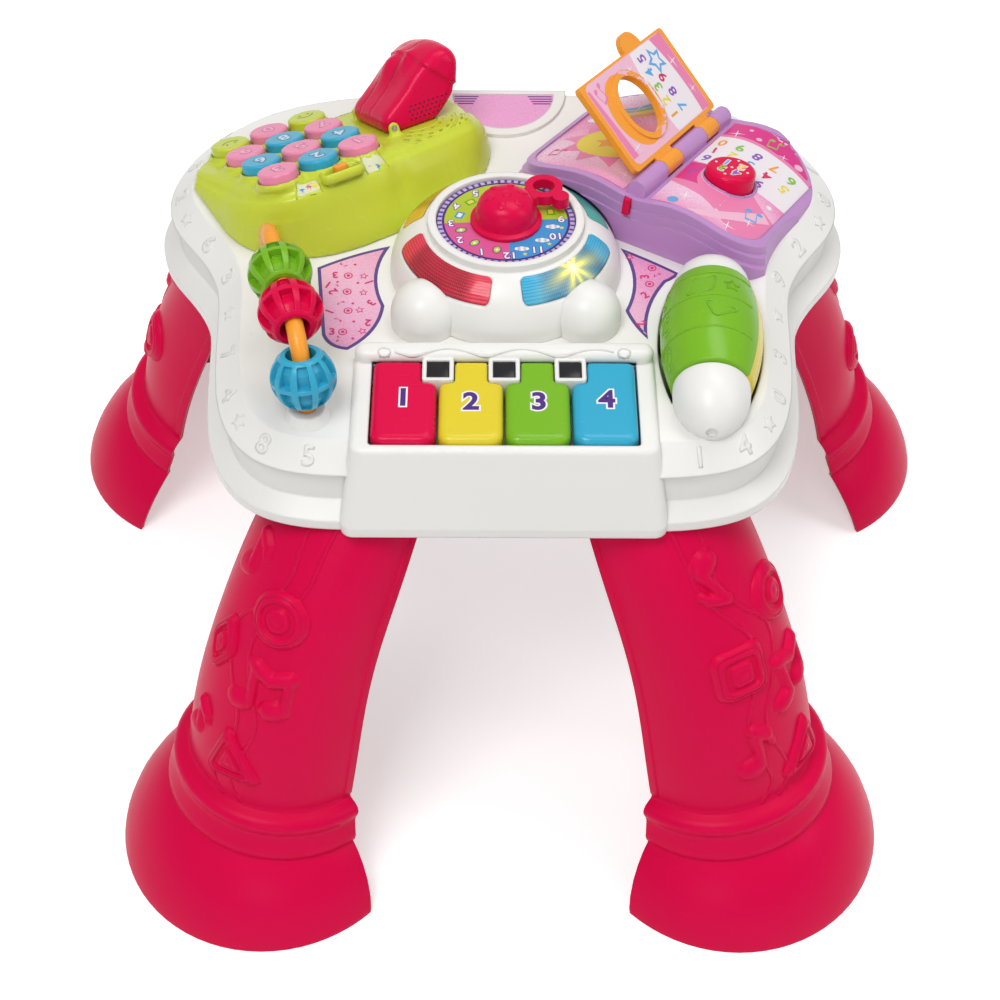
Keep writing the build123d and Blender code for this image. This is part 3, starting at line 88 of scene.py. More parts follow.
deck_z = 305.0
deck_plane = level_plane(0, 0, deck_z)
key_pitch, key_top_z = 34.9, 312.0
dome_tilt = radians(4.0)
dome_plane = work_plane((1, 16, deck_z), (1, 0, 0), (0, sin(dome_tilt), cos(dome_tilt)))
dial_top = 30.7
phone_spot, phone_yaw, phone_slope = (-121.8, 92.5), 30.0, 23.4
keypad_plane = tilted_plane((*phone_spot, 330.0), phone_yaw, phone_slope)
phone_deck_drop, keypad_pitch = 8.0, 25.0
book_spot, book_yaw, book_slope = (73.0, 39.5), -30.4, 12.0
book_plane = tilted_plane((*book_spot, 336.0), book_yaw, book_slope)
button_place = (35.5, 48.0)
leaf_angle = radians(40.0)
book_x = (book_plane.to_3x3() @ Vector((1, 0, 0))).normalized()
book_y = (book_plane.to_3x3() @ Vector((0, 1, 0))).normalized()
book_z = (book_plane.to_3x3() @ Vector((0, 0, 1))).normalized()
leaf_plane = work_plane((book_plane @ Vector((0, 0, 3.2))) / MM, book_y,
                        book_z * cos(leaf_angle) + book_x * sin(leaf_angle))
roller_plane = level_plane(111.3, -46, 312, radians(-4.0))

# ---- Meshes and raised shapes, in millimetres ----


def new_object(name, data):
    """Object with this data, in the scene."""
    made = bpy.data.objects.new(name, data)
    bpy.context.scene.collection.objects.link(made)
    return made


def mesh_of(shape, name="shape"):
    """Mesh of a shape, which is then freed."""
    mesh = bpy.data.meshes.new(name)
    shape.to_mesh(mesh)
    shape.free()
    return mesh


def shape_of(holder):
    """Shape of an object as its curve or its modifiers make it; the object is removed."""
    bpy.context.view_layer.update()
    mesh = bpy.data.meshes.new_from_object(holder.evaluated_get(bpy.context.evaluated_depsgraph_get()))
    shape = bmesh.new()
    shape.from_mesh(mesh)
    bpy.data.objects.remove(holder)
    bpy.data.meshes.remove(mesh)
    return shape


def join(target, shape):
    """Add a shape to another one where it is."""
    mesh = mesh_of(shape)
    target.from_mesh(mesh)
    bpy.data.meshes.remove(mesh)


def everything(shape):
    """All vertices, edges and faces of a shape."""
    return shape.verts[:] + shape.edges[:] + shape.faces[:]


def block(half_x, half_y):
    """Outline of a rectangle, from its half widths."""
    return [(-half_x, -half_y), (half_x, -half_y), (half_x, half_y), (-half_x, half_y)]


def oval(across, along, steps=32):
    """Oval outline."""
    return [(across * cos(2 * pi * k / steps), along * sin(2 * pi * k / steps)) for k in range(steps)]


def slab(outline, height, corner=0.0, edge=0.0, base=-0.3):
    """Flat piece with this outline, rounded at its corners and along its upper edge."""
    shape = bmesh.new()
    shape.faces.new([shape.verts.new((x, y, base)) for x, y in outline])
    if corner:
        bmesh.ops.bevel(shape, geom=list(shape.verts), offset=corner, segments=5, profile=0.5,
                        affect="VERTICES", material=-1)
    raised_face = bmesh.ops.extrude_face_region(shape, geom=list(shape.faces))
    top = [item for item in raised_face["geom"] if isinstance(item, bmesh.types.BMVert)]
    bmesh.ops.translate(shape, verts=top, vec=(0, 0, height - base))
    if edge:
        rim = [item for item in shape.edges if min(vert.co.z for vert in item.verts) > height - 1e-4]
        bmesh.ops.bevel(shape, geom=rim, offset=edge, segments=3, profile=0.5, affect="EDGES", material=-1)
    bmesh.ops.holes_fill(shape, edges=[item for item in shape.edges if item.is_boundary])
    bmesh.ops.recalc_face_normals(shape, faces=shape.faces)
    return shape


def disc(radius, height, edge=0.0, steps=40, squash=1.0, base=-0.3):
    """Round or oval slab."""
    return slab(oval(radius, squash * radius, steps), height, 0.0, edge, base)


def star(points, outer, inner, height, edge=0.0, corner=0.0, base=-0.3):
    """Star with this many points."""
    outline = []
    for k in range(2 * points):
        radius = outer if k % 2 == 0 else inner
        angle = pi / 2 + pi * k / points
        outline.append((radius * cos(angle), radius * sin(angle)))
    return slab(outline, height, corner, edge, base)


def turned(profile, steps=48):
    """Body turned from a profile of (radius, height) points."""
    shape = bmesh.new()
    verts = [shape.verts.new((radius, 0, height)) for radius, height in profile]
    edges = [shape.edges.new((verts[k], verts[(k + 1) % len(verts)])) for k in range(len(verts))]
    bmesh.ops.spin(shape, geom=verts + edges, cent=(0, 0, 0), axis=(0, 0, 1), angle=2 * pi, steps=steps,
                   use_merge=True)
    bmesh.ops.remove_doubles(shape, verts=shape.verts, dist=1e-4)
    bmesh.ops.recalc_face_normals(shape, faces=shape.faces)
    return shape


def ring(outer, inner, height, base=-0.3):
    """Raised ring with a rounded back."""
    width, middle = (outer - inner) / 2, (outer + inner) / 2
    profile = [(outer, base)]
    for k in range(7):
        angle = pi * k / 6
        profile.append((middle + width * cos(angle), max(height * sin(angle), 0.0)))
    profile.append((inner, base))
    return turned(profile)


def from_curve(curve):
    """Mesh shape of a curve or text, which is then removed."""
    shape = shape_of(new_object("outline", curve))
    bmesh.ops.remove_doubles(shape, verts=shape.verts, dist=1e-4)
    bmesh.ops.recalc_face_normals(shape, faces=shape.faces)
    return shape


def digits(words, size, height, bold=0.0, edge=0.0, base=-0.3):
    """Raised digits in a plain face, centred on the work plane."""
    curve = bpy.data.curves.new("digits", "FONT")
    curve.body, curve.size, curve.offset = words, size, bold
    curve.align_x, curve.align_y = "CENTER", "CENTER"
    curve.resolution_u = 4
    curve.extrude = (height - base) / 2 - edge
    curve.bevel_depth, curve.bevel_resolution = edge, 1
    shape = from_curve(curve)
    bmesh.ops.translate(shape, verts=shape.verts, vec=(0, 0, (height + base) / 2))
    return shape


def line(points, width, height, closed=False, smooth=True):
    """Raised line with a rounded back along a path, which may climb."""
    curve = bpy.data.curves.new("line", "CURVE")
    curve.dimensions = "3D"
    curve.bevel_depth, curve.bevel_resolution, curve.resolution_u = width / 2, 2, 6
    curve.use_fill_caps = True
    spline = curve.splines.new("NURBS" if smooth else "POLY")
    spline.points.add(len(points) - 1)
    for point, place in zip(spline.points, points):
        point.co = (place[0], place[1], place[2] if len(place) > 2 else 0.0, 1.0)
    spline.use_cyclic_u = closed
    if smooth:
        spline.order_u, spline.use_endpoint_u = 3, not closed
    shape = from_curve(curve)
    if len(points[0]) == 2:
        for vert in shape.verts:
            vert.co.z *= 2 * height / width
    return shape


def note(size, height, pair=False):
    """Music note, or two notes on one beam."""
    shape = bmesh.new()
    heads = (-0.32, 0.36) if pair else (0.0,)
    for x in heads:
        put(shape, disc(0.2 * size, height, height * 0.45, 24, 0.76), x * size, -0.42 * size, 20)
        stem = [(0.15, -0.4), (0.22, -0.4), (0.22, 0.5), (0.15, 0.5)]
        put(shape, slab([(u * size, v * size) for u, v in stem], height * 0.9, 0, height * 0.25), x * size, 0)
    if pair:
        beam = [(-0.17, 0.36), (0.58, 0.44), (0.58, 0.6), (-0.17, 0.52)]
    else:
        beam = [(0.15, 0.5), (0.15, 0.33), (0.34, 0.16), (0.42, -0.06), (0.48, 0.12), (0.38, 0.33), (0.22, 0.5)]
    put(shape, slab([(u * size, v * size) for u, v in beam], height, 0, height * 0.25))
    return shape


def put(target, shape, x=0.0, y=0.0, turn_deg=0.0, ink=0):
    """Add a shape to another one, at a place, with an ink number."""
    shape.transform(Matrix.Translation((x, y, 0)) @ Matrix.Rotation(radians(turn_deg), 4, "Z"))
    for face in shape.faces:
        face.material_index = ink
    join(target, shape)


def edged_digits(target, words, size, edge, inner, x=0.0, y=0.0, turn_deg=0.0, inks=(0, 1)):
    """Flat digits in one ink over a wider edge in another; both are given as (height, bold, base)."""
    for (height, bold, base), colour in zip((edge, inner), inks):
        put(target, digits(words, size, height, bold, 0.0, base), x, y, turn_deg, ink=colour)


def grid_cut(shape, step):
    """Cut a flat shape along a grid, so that it can follow a curved surface."""
    for axis in (0, 1):
        low = min(vert.co[axis] for vert in shape.verts)
        high = max(vert.co[axis] for vert in shape.verts)
        normal = (1, 0, 0) if axis == 0 else (0, 1, 0)
        for k in range(1, int((high - low) / step) + 1):
            place = [0, 0, 0]
            place[axis] = low + k * step
            bmesh.ops.bisect_plane(shape, geom=everything(shape), dist=1e-5, plane_co=place, plane_no=normal)


skins = {}


def skin(node):
    """Search tree of a node's surface."""
    if node not in skins:
        mesh = nodes[node].data
        skins[node] = BVHTree.FromPolygons([vert.co for vert in mesh.vertices],
                                           [face.vertices for face in mesh.polygons])
    return skins[node]


def lay(shape, plane, node, step=3.0, reach=30.0, depth=None):
    """Lay a shape drawn on a work plane onto one or more nodes: every point keeps its height above the surface.

    What misses them, or would drop deeper than a depth below the plane, is cut off.
    """
    if step:
        grid_cut(shape, step)
    down = -(plane.to_3x3() @ Vector((0, 0, 1))).normalized()
    missed = []
    for vert in shape.verts:
        start = plane @ Vector((vert.co.x, vert.co.y, reach))
        best = None
        for name in (node if isinstance(node, (list, tuple)) else [node]):
            spot, _, _, away = skin(name).ray_cast(start, down, 2 * reach * MM)
            if spot is not None and (best is None or away < best[1]):
                best = (spot, away)
        if best is None or (depth is not None and best[1] > (reach + depth) * MM):
            missed.append(vert)
        else:
            vert.co = best[0] - down * (vert.co.z * MM)
    bmesh.ops.delete(shape, geom=missed, context="VERTS")
    return shape


def round_hole(shape, x, y, radius, sides=28):
    """Cut a round hole out of a flat shape."""
    for k in range(sides):
        angle = 2 * pi * (k + 0.5) / sides
        away = (cos(angle), sin(angle), 0)
        near = [face for face in shape.faces
                if (face.calc_center_median().xy - Vector((x, y))).length < radius + 16]
        edges = {edge for face in near for edge in face.edges}
        verts = {vert for face in near for vert in face.verts}
        bmesh.ops.bisect_plane(shape, geom=near + list(edges) + list(verts), dist=1e-5,
                               plane_co=(x + radius * away[0], y + radius * away[1], 0), plane_no=away)
    inside = [face for face in shape.faces
              if (face.calc_center_median().xy - Vector((x, y))).length < radius * 0.995]
    bmesh.ops.delete(shape, geom=inside, context="FACES")


def piece(name, shape, finishes, body, plane=None, smooth_deg=32.0):
    """Finished piece of the table from a shape, riding on a body."""
    if plane is not None:
        shape.transform(plane)
    mesh = mesh_of(shape, name)
    for finish in finishes if isinstance(finishes, (list, tuple)) else [finishes]:
        mesh.materials.append(finish)
    mesh.shade_smooth()
    mesh.set_sharp_from_angle(angle=radians(smooth_deg))
    made = new_object(name, mesh)
    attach(made, body)
    return made


# ---- Finishes ----


class Value:
    """Number in a shader tree; sums and products of it make maths nodes."""

    def __init__(self, tree, socket):
        self.tree, self.socket = tree, socket

    def made(self, operation, *terms):
        """Value of a maths node with these terms."""
        node = self.tree.nodes.new("ShaderNodeMath")
        node.operation = operation
        for socket, term in zip(node.inputs, terms):
            feed(self.tree, socket, term)
        return Value(self.tree, node.outputs[0])

    def to(self, operation, *others):
        """Value of another operation on this one."""
        return self.made(operation, self, *others)

    def clamp(self):
        """The same value, held between 0 and 1."""
        self.socket.node.use_clamp = True
        return self

    def __add__(self, other):
        return self.made("ADD", self, other)

    def __sub__(self, other):
        return self.made("SUBTRACT", self, other)

    def __rsub__(self, other):
        return self.made("SUBTRACT", other, self)

    def __mul__(self, other):
        return self.made("MULTIPLY", self, other)


def feed(tree, socket, value):
    """Link a value or socket to an input, or fill in a number, a vector or a colour."""
    value = value.socket if isinstance(value, Value) else value
    if isinstance(value, bpy.types.NodeSocket):
        tree.links.new(value, socket)
    else:
        socket.default_value = (*value[:3], 1.0) if socket.type == "RGBA" else value


def fill(tree, node, **values):
    """Feed some inputs of a node; a space in a name is written as a low line."""
    for key, value in values.items():
        feed(tree, node.inputs[key.replace("_", " ")], value)


def node_at(tree, kind, **values):
    """New shader node with some of its inputs or settings filled in."""
    made = tree.nodes.new(kind)
    for key, value in values.items():
        if hasattr(made, key) and key not in made.inputs:
            setattr(made, key, value)
        else:
            fill(tree, made, **{key: value})
    return made


def object_place(tree):
    """Place on the object, as a vector."""
    return node_at(tree, "ShaderNodeTexCoord").outputs["Object"]


def noise(tree, where, scale, detail, **more):
    """Noise of this scale and detail, as a value from 0 to 1."""
    made = node_at(tree, "ShaderNodeTexNoise", Vector=where, Scale=scale, Detail=detail, **more)
    return Value(tree, made.outputs["Fac"])


def vector_maths(tree, operation, first, second=None, scale=None):
    """Vector node on two vectors, or on one and a scale; it gives a vector or a value."""
    made = node_at(tree, "ShaderNodeVectorMath", operation=operation)
    feed(tree, made.inputs[0], first)
    if second is not None:
        feed(tree, made.inputs[1], second)
    if scale is not None:
        feed(tree, made.inputs["Scale"], scale)
    if operation in ("DOT_PRODUCT", "DISTANCE"):
        return Value(tree, made.outputs["Value"])
    return made.outputs[0]


def across_and_along(tree, vector):
    """First and second part of a vector, as values."""
    parts = node_at(tree, "ShaderNodeSeparateXYZ", Vector=vector)
    return Value(tree, parts.outputs["X"]), Value(tree, parts.outputs["Y"])


def mix_colours(tree, share, first, second):
    """Mix of two colours."""
    made = node_at(tree, "ShaderNodeMix", data_type="RGBA")
    for index, value in ((0, share), (6, first), (7, second)):
        feed(tree, made.inputs[index], value)
    return made.outputs[2]


def make_moulded_skin():
    """Moulded plastic: softened edges that turn lighter from wear and a painted edge highlight, orange peel, flow
    tint, smudges and fine scratches.
    """
    tree = bpy.data.node_groups.new("moulded_skin", "ShaderNodeTree")
    sockets = tree.interface
    for name, kind, value in (("Colour", "Color", (0.8, 0.8, 0.8, 1)), ("Worn Colour", "Color", (1, 1, 1, 1)),
                              ("Wear", "Float", 0.25), ("Tint", "Float", 0.06), ("Gloss", "Float", 0.28),
                              ("Smudge", "Float", 0.12), ("Peel", "Float", 0.12), ("Edge", "Float", 0.0009)):
        made = sockets.new_socket(name=name, in_out="INPUT", socket_type="NodeSocket" + kind)
        made.default_value = value
    for name, kind in (("Colour", "Color"), ("Roughness", "Float"), ("Normal", "Vector")):
        sockets.new_socket(name=name, in_out="OUTPUT", socket_type="NodeSocket" + kind)
    given = tree.nodes.new("NodeGroupInput").outputs
    where = object_place(tree)
    edge = node_at(tree, "ShaderNodeBevel", samples=4, Radius=given["Edge"]).outputs[0]
    true_normal = node_at(tree, "ShaderNodeNewGeometry").outputs["Normal"]
    # Edge mask: the lighter colour at the edges stands for wear and for a painted highlight.
    worn_and_lit_edge = (1.0 - vector_maths(tree, "DOT_PRODUCT", edge, true_normal)).clamp()
    worn_and_lit_edge = ((worn_and_lit_edge * 5.0).clamp() * noise(tree, where, 70.0, 3.0) * given["Wear"]).clamp()
    shade = (noise(tree, where, 9.0, 2.0, Distortion=0.6) - 0.5) * given["Tint"] + 1.0
    tinted = vector_maths(tree, "SCALE", given["Colour"], scale=shade)
    smeared = (noise(tree, where, 38.0, 5.0, Roughness=0.6) - 0.5) * given["Smudge"]
    stretch = node_at(tree, "ShaderNodeMapping", Vector=where, Scale=(40.0, 420.0, 160.0),
                      Rotation=(0.2, 0.1, 0.6))
    scratched = (noise(tree, stretch.outputs[0], 1.0, 2.0) - 0.62).clamp()
    dimple = node_at(tree, "ShaderNodeBump", Distance=0.00012, Strength=given["Peel"],
                     Height=noise(tree, where, 520.0, 2.0), Normal=edge)
    fill(tree, tree.nodes.new("NodeGroupOutput"), Colour=mix_colours(tree, worn_and_lit_edge, tinted, given["Worn Colour"]),
         Roughness=(smeared + given["Gloss"] + scratched * 0.5).clamp(), Normal=dimple.outputs[0])
    return tree


moulded_skin = make_moulded_skin()


def new_finish(name):
    """Empty material with its node tree and shader."""
    finish = bpy.data.materials.new(name)
    finish.use_nodes = True
    return finish, finish.node_tree, finish.node_tree.nodes["Principled BSDF"]


def plastic(name, colour, gloss=0.28, worn_and_lit_edge=None, wear_and_highlight=0.25, peel=0.12, edge=0.0009, tint=0.06, smudge=0.12,
            shine=0.36):
    """Moulded plastic of one colour."""
    finish, tree, shader = new_finish(name)
    # Lighter edge colour, for wear and for a painted edge highlight.
    worn_and_lit_edge = worn_and_lit_edge or [min(1, 0.25 + 0.8 * part) for part in colour]
    body = node_at(tree, "ShaderNodeGroup", node_tree=moulded_skin, Colour=colour, Worn_Colour=worn_and_lit_edge, Gloss=gloss,
                   Wear=wear_and_highlight, Peel=peel, Edge=edge, Tint=tint, Smudge=smudge)
    fill(tree, shader, Base_Color=body.outputs["Colour"], Roughness=body.outputs["Roughness"],
         Normal=body.outputs["Normal"], IOR=1.46, Specular_IOR_Level=shine)
    return finish


def ink(name, colour, gloss=0.33):
    """Printed ink under a clear film."""
    return plastic(name, colour, gloss, wear_and_highlight=0.0, peel=0.05, edge=0.00005, tint=0.05, smudge=0.1)


def inks_of(group, **colours):
    """Inks named after their group and colour."""
    return [ink(group + "_" + name, colour) for name, colour in colours.items()]


white_plastic = plastic("white_casing_plastic", (0.83, 0.82, 0.79), 0.3, (0.9, 0.89, 0.87), 0.4, tint=0.03,
                        edge=0.0018)
crimson_plastic = plastic("crimson_plastic", (0.70, 0.002, 0.062), 0.24, (0.86, 0.07, 0.16), 0.3, shine=0.16)
leg_plastic = plastic("leg_plastic", (0.72, 0.002, 0.066), 0.34, (0.86, 0.07, 0.16), 0.3, peel=0.16,
                      edge=0.0012, shine=0.08)
lime_plastic = plastic("lime_plastic", (0.56, 0.64, 0.045), 0.24, (0.75, 0.8, 0.3), 0.35, edge=0.0012)
purple_plastic = plastic("lilac_plastic", (0.52, 0.27, 0.57), 0.3, (0.72, 0.5, 0.8), 0.5, edge=0.0012)
orange_plastic = plastic("orange_plastic", (0.90, 0.34, 0.03), 0.26, (0.95, 0.6, 0.2), 0.4)
yellow_plastic = plastic("yellow_plastic", (0.74, 0.59, 0.025), 0.22, (0.92, 0.82, 0.3), 0.4)
green_plastic = plastic("green_plastic", (0.185, 0.45, 0.012), 0.22, (0.45, 0.72, 0.15), 0.4)
blue_plastic = plastic("blue_plastic", (0.03, 0.38, 0.58), 0.22, (0.35, 0.7, 0.85), 0.4)
pink_plastic = plastic("pink_plastic", (0.84, 0.26, 0.42), 0.28, (0.92, 0.6, 0.7), 0.4)
grey_plastic = plastic("grey_plastic", (0.32, 0.32, 0.33), 0.4)
dark_plastic = plastic("dark_plastic", (0.012, 0.011, 0.013), 0.16, wear_and_highlight=0.1)
battery_wrap = plastic("battery_wrap", (0.08, 0.09, 0.10), 0.3)
board_lacquer = plastic("board_lacquer", (0.03, 0.22, 0.08), 0.35, wear_and_highlight=0.1)
violet_ink = ink("violet_ink", (0.07, 0.02, 0.20))
white_ink = ink("white_ink", (0.86, 0.84, 0.86))


def make_steel():
    """Brushed steel of pins and screws."""
    finish, tree, shader = new_finish("brushed_steel")
    stretch = node_at(tree, "ShaderNodeMapping", Vector=object_place(tree), Scale=(900.0, 60.0, 900.0))
    brush = noise(tree, stretch.outputs[0], 1.0, 3.0)
    fill(tree, shader, Base_Color=mix_colours(tree, brush, (0.5, 0.5, 0.5), (0.66, 0.66, 0.67)),
         Roughness=brush * 0.55, Metallic=1.0)
    return finish


steel = make_steel()


def make_lens(name, colour, deep, glow=None):
    """Tinted light window: fine ribs crossed by rings behind a clear skin, and a lamp where one is lit."""
    finish, tree, shader = new_finish(name)
    where = object_place(tree)
    centred = node_at(tree, "ShaderNodeMapping", vector_type="TEXTURE", Vector=where,
                      Location=tuple(dome_plane.translation), Rotation=(-dome_tilt, 0.0, 0.0))
    x, y = across_and_along(tree, centred.outputs[0])
    angle = y.to("ARCTAN2", x)
    rings = ((x * x + y * y).to("SQRT") * (2 * pi / 0.0013)).to("SINE")
    ribs = (angle * (2 * pi / radians(1.5))).to("SINE")
    dots = (rings * ribs * 0.5 + 0.5).clamp()
    quarter = (angle * 2.0).to("SINE").to("ABSOLUTE")
    middle = ((quarter - 0.62).clamp() * 6.0).clamp()
    dark = ((dots * middle * 1.5).clamp() * (noise(tree, where, 60.0, 2.0) + 0.35)).clamp()
    bright = tuple(min(1.0, 0.15 + 1.15 * c) for c in colour)
    base = mix_colours(tree, dark, mix_colours(tree, (rings + 1.0) * 0.16, colour, bright), deep)
    if glow:
        lamp_place = tuple(c * MM for c in glow)
        away = vector_maths(tree, "DISTANCE", where, lamp_place)
        aside, ahead = across_and_along(tree, vector_maths(tree, "SUBTRACT", where, lamp_place))
        rays = (ahead.to("ARCTAN2", aside) * 4.0).to("COSINE").to("ABSOLUTE").to("POWER", 3.0)
        halo, beam = (away * -190.0).to("EXPONENT"), rays * (away * -110.0).to("EXPONENT")
        light = (halo * 0.9 + beam * 0.8).clamp()
        warm = mix_colours(tree, (away * away * -90000.0).to("EXPONENT"), (0.95, 0.80, 0.06), (1.0, 0.98, 0.75))
        glowing = mix_colours(tree, light, (0.0, 0.0, 0.0), warm)
        fill(tree, shader, Emission_Color=glowing, Emission_Strength=1.1)
        base = mix_colours(tree, light, base, (0.75, 0.66, 0.08))
    bump = node_at(tree, "ShaderNodeBump", Strength=0.35, Distance=0.0003, Height=dots + rings)
    fill(tree, shader, Base_Color=base, Normal=bump.outputs[0], Roughness=dots * 0.2 + 0.2, Coat_Weight=0.45,
         Coat_Roughness=0.08, Specular_IOR_Level=0.25)
    return finish


red_lens = make_lens("red_lens", (0.68, 0.012, 0.05), (0.24, 0.002, 0.012))
blue_lens = make_lens("blue_lens", (0.0, 0.36, 0.62), (0.0, 0.06, 0.20), (36.9, -17.0, 333.2))
teal_lens = make_lens("teal_lens", (0.05, 0.42, 0.34), (0.01, 0.14, 0.12))
amber_lens = make_lens("amber_lens", (0.72, 0.42, 0.012), (0.30, 0.14, 0.004))

finish_of = {
    "white_casing": white_plastic, "crimson": crimson_plastic, "lime": lime_plastic, "purple": purple_plastic,
    "orange": orange_plastic, "yellow": yellow_plastic, "green": green_plastic, "blue": blue_plastic,
    "pink": pink_plastic, "red_lens": red_lens, "blue_lens": blue_lens, "teal_lens": teal_lens,
    "amber_lens": amber_lens, "steel": steel, "dark": dark_plastic, "grey": grey_plastic,
    "board": board_lacquer, "battery": battery_wrap,
}


def make_sheet(name, pale, strong, direction, width):
    """Printed sheet: a tint that runs from pale to strong in soft diagonal beams, with paper grain."""
    finish, tree, shader = new_finish(name)
    where = object_place(tree)
    phase = (vector_maths(tree, "DOT_PRODUCT", where, direction) * (2 * pi / width)
             + noise(tree, where, 14.0, 1.0) * 5.0)
    share = (phase.to("SINE") * 0.5 + 0.5).clamp()
    grain = noise(tree, where, 900.0, 2.0)
    colour = mix_colours(tree, grain * 0.08, mix_colours(tree, share, pale, strong), (1.0, 1.0, 1.0))
    bump = node_at(tree, "ShaderNodeBump", Strength=0.08, Distance=0.0001, Height=grain)
    fill(tree, shader, Base_Color=colour, Roughness=grain * 0.12 + 0.22, Normal=bump.outputs[0])
    return finish


page_print = make_sheet("page_print", (0.86, 0.55, 0.72), (0.80, 0.16, 0.42), (0.6, 0.8, 0.0), 0.075)
sticker_print = make_sheet("sticker_print", (0.80, 0.42, 0.60), (0.74, 0.28, 0.50), (0.8, 0.6, 0.0), 0.09)
plate_print = make_sheet("plate_print", (0.82, 0.42, 0.68), (0.80, 0.34, 0.62), (0.0, 1.0, 0.0), 0.08)

# ---- Finish of every node ----
sticker_border = ink("sticker_border", (0.11, 0.06, 0.24))
finish_of.update({"dial_print": violet_ink, "page_print": page_print, "sticker_print": sticker_border,
                  "plate_print": plate_print})
leg_names = ("leg_front_left", "leg_front_right", "leg_rear_left", "leg_rear_right")
slot_of = {item["node"]: item["material_slot"] for item in frame["record"]["subparts"]}
for node, shape in nodes.items():
    finish = leg_plastic if node in leg_names else finish_of[slot_of[node]]
    if shape.data.materials:
        shape.data.materials[0] = finish
    else:
        shape.data.materials.append(finish)

# ---- Shared outlines and raised shapes ----


def curve_point(first, middle, last, share):
    """Point on the curve from first to last that is drawn to the middle."""
    return tuple(first * (1 - share) ** 2 + middle * 2 * share * (1 - share) + last * share ** 2)


def rounded(corners, cuts, steps=6):
    """Outline through these corners, each one cut off by a curve."""
    points = []
    for k, corner in enumerate(corners):
        cut = cuts[k] if isinstance(cuts, (list, tuple)) else cuts
        here = Vector(corner)
        if not cut:
            points.append(tuple(here))
            continue
        first = here + (Vector(corners[k - 1]) - here).normalized() * cut
        last = here + (Vector(corners[(k + 1) % len(corners)]) - here).normalized() * cut
        for step in range(steps + 1):
            points.append(curve_point(first, here, last, step / steps))
    return points


def bowed(corners, bows, steps=10):
    """Outline whose sides bow out by these amounts."""
    points = []
    for k, corner in enumerate(corners):
        first, last = Vector(corner), Vector(corners[(k + 1) % len(corners)])
        side = (last - first).normalized()
        middle = (first + last) / 2 + Vector((side.y, -side.x)) * 2 * bows[k]
        for step in range(steps):
            points.append(curve_point(first, middle, last, step / steps))
    return points


def inset(outline, amount):
    """Outline moved inwards by an amount; it runs clockwise or anticlockwise."""
    area = sum(a[0] * b[1] - b[0] * a[1] for a, b in zip(outline, outline[1:] + outline[:1]))
    sign = 1 if area > 0 else -1
    points = []
    for k, corner in enumerate(outline):
        before, after = Vector(outline[k - 1]), Vector(outline[(k + 1) % len(outline)])
        here = Vector(corner)
        first, last = (here - before).normalized(), (after - here).normalized()
        along = (first + last).normalized()
        spread = max(0.4, along.dot(first))
        points.append(tuple(here + Vector((-along.y, along.x)) * sign * amount / spread))
    return points


def clipped(outline, region):
    """Part of an outline that lies in a convex region given anticlockwise."""
    for a, b in zip(region, region[1:] + region[:1]):
        kept = []
        for first, last in zip(outline, outline[1:] + outline[:1]):
            here, after = ((b[0] - a[0]) * (spot[1] - a[1]) - (b[1] - a[1]) * (spot[0] - a[0])
                           for spot in (first, last))
            if here >= 0:
                kept.append(first)
            if (here >= 0) != (after >= 0):
                share = here / (here - after)
                kept.append((first[0] + (last[0] - first[0]) * share, first[1] + (last[1] - first[1]) * share))
        outline = kept
    return outline


def within(outline, x, y):
    """True where a point lies inside an outline."""
    inside = False
    for a, b in zip(outline, outline[1:] + outline[:1]):
        if (a[1] > y) != (b[1] > y) and x < (b[0] - a[0]) * (y - a[1]) / (b[1] - a[1]) + a[0]:
            inside = not inside
    return inside


def sheet(outline, holes, height, base=-0.02):
    """Thin sheet with an outline and holes."""
    curve = bpy.data.curves.new("sheet", "CURVE")
    curve.dimensions, curve.fill_mode = "2D", "BOTH"
    curve.extrude = (height - base) / 2
    for loop in [outline] + list(holes):
        spline = curve.splines.new("POLY")
        spline.points.add(len(loop) - 1)
        for point, place in zip(spline.points, loop):
            point.co = (place[0], place[1], 0.0, 1.0)
        spline.use_cyclic_u = True
    shape = from_curve(curve)
    bmesh.ops.translate(shape, verts=shape.verts, vec=(0, 0, (height + base) / 2))
    return shape


def relief(outline, levels):
    """Domed raised shape: one outline repeated at (size, height) levels and closed in the middle."""
    shape = bmesh.new()
    loops = [[shape.verts.new((x * size, y * size, height)) for x, y in outline] for size, height in levels]
    for low, high in zip(loops, loops[1:]):
        for k in range(len(outline)):
            after = (k + 1) % len(outline)
            shape.faces.new((low[k], low[after], high[after], high[k]))
    shape.faces.new(loops[-1])
    shape.faces.new(list(reversed(loops[0])))
    bmesh.ops.recalc_face_normals(shape, faces=shape.faces)
    return shape


motif_levels = [
    (1.0, -0.6), (1.0, 0.1), (0.97, 1.1), (0.92, 2.4), (0.87, 3.2), (0.83, 3.5), (0.80, 3.0), (0.77, 3.5), (0.72, 4.0),
    (0.66, 4.1), (0.62, 3.7), (0.595, 2.4), (0.56, 2.0), (0.46, 2.1), (0.42, 2.6), (0.38, 3.7), (0.32, 4.2),
    (0.24, 4.3), (0.2, 3.9), (0.15, 4.2), (0.08, 4.4), (0.03, 4.45)]
dome_levels = [
    (1.0, -0.6), (1.0, 0.1), (0.97, 0.9), (0.9, 1.7), (0.8, 2.3), (0.65, 2.7), (0.45, 2.9), (0.2, 3.0), (0.05, 3.0)]
motif_outlines = {"round": oval(17.5, 17.5, 48), "square": rounded(block(16.5, 16.5), 8.0),
                  "pointed": rounded([(0, -23), (13, 0), (0, 23), (-13, 0)], 8.0),
                  "triangle": rounded([(-17, -20), (24, -8), (-9, 24)], 9.0)}

# ---- Legs: smooth skins, raised motifs, flowing lines ----


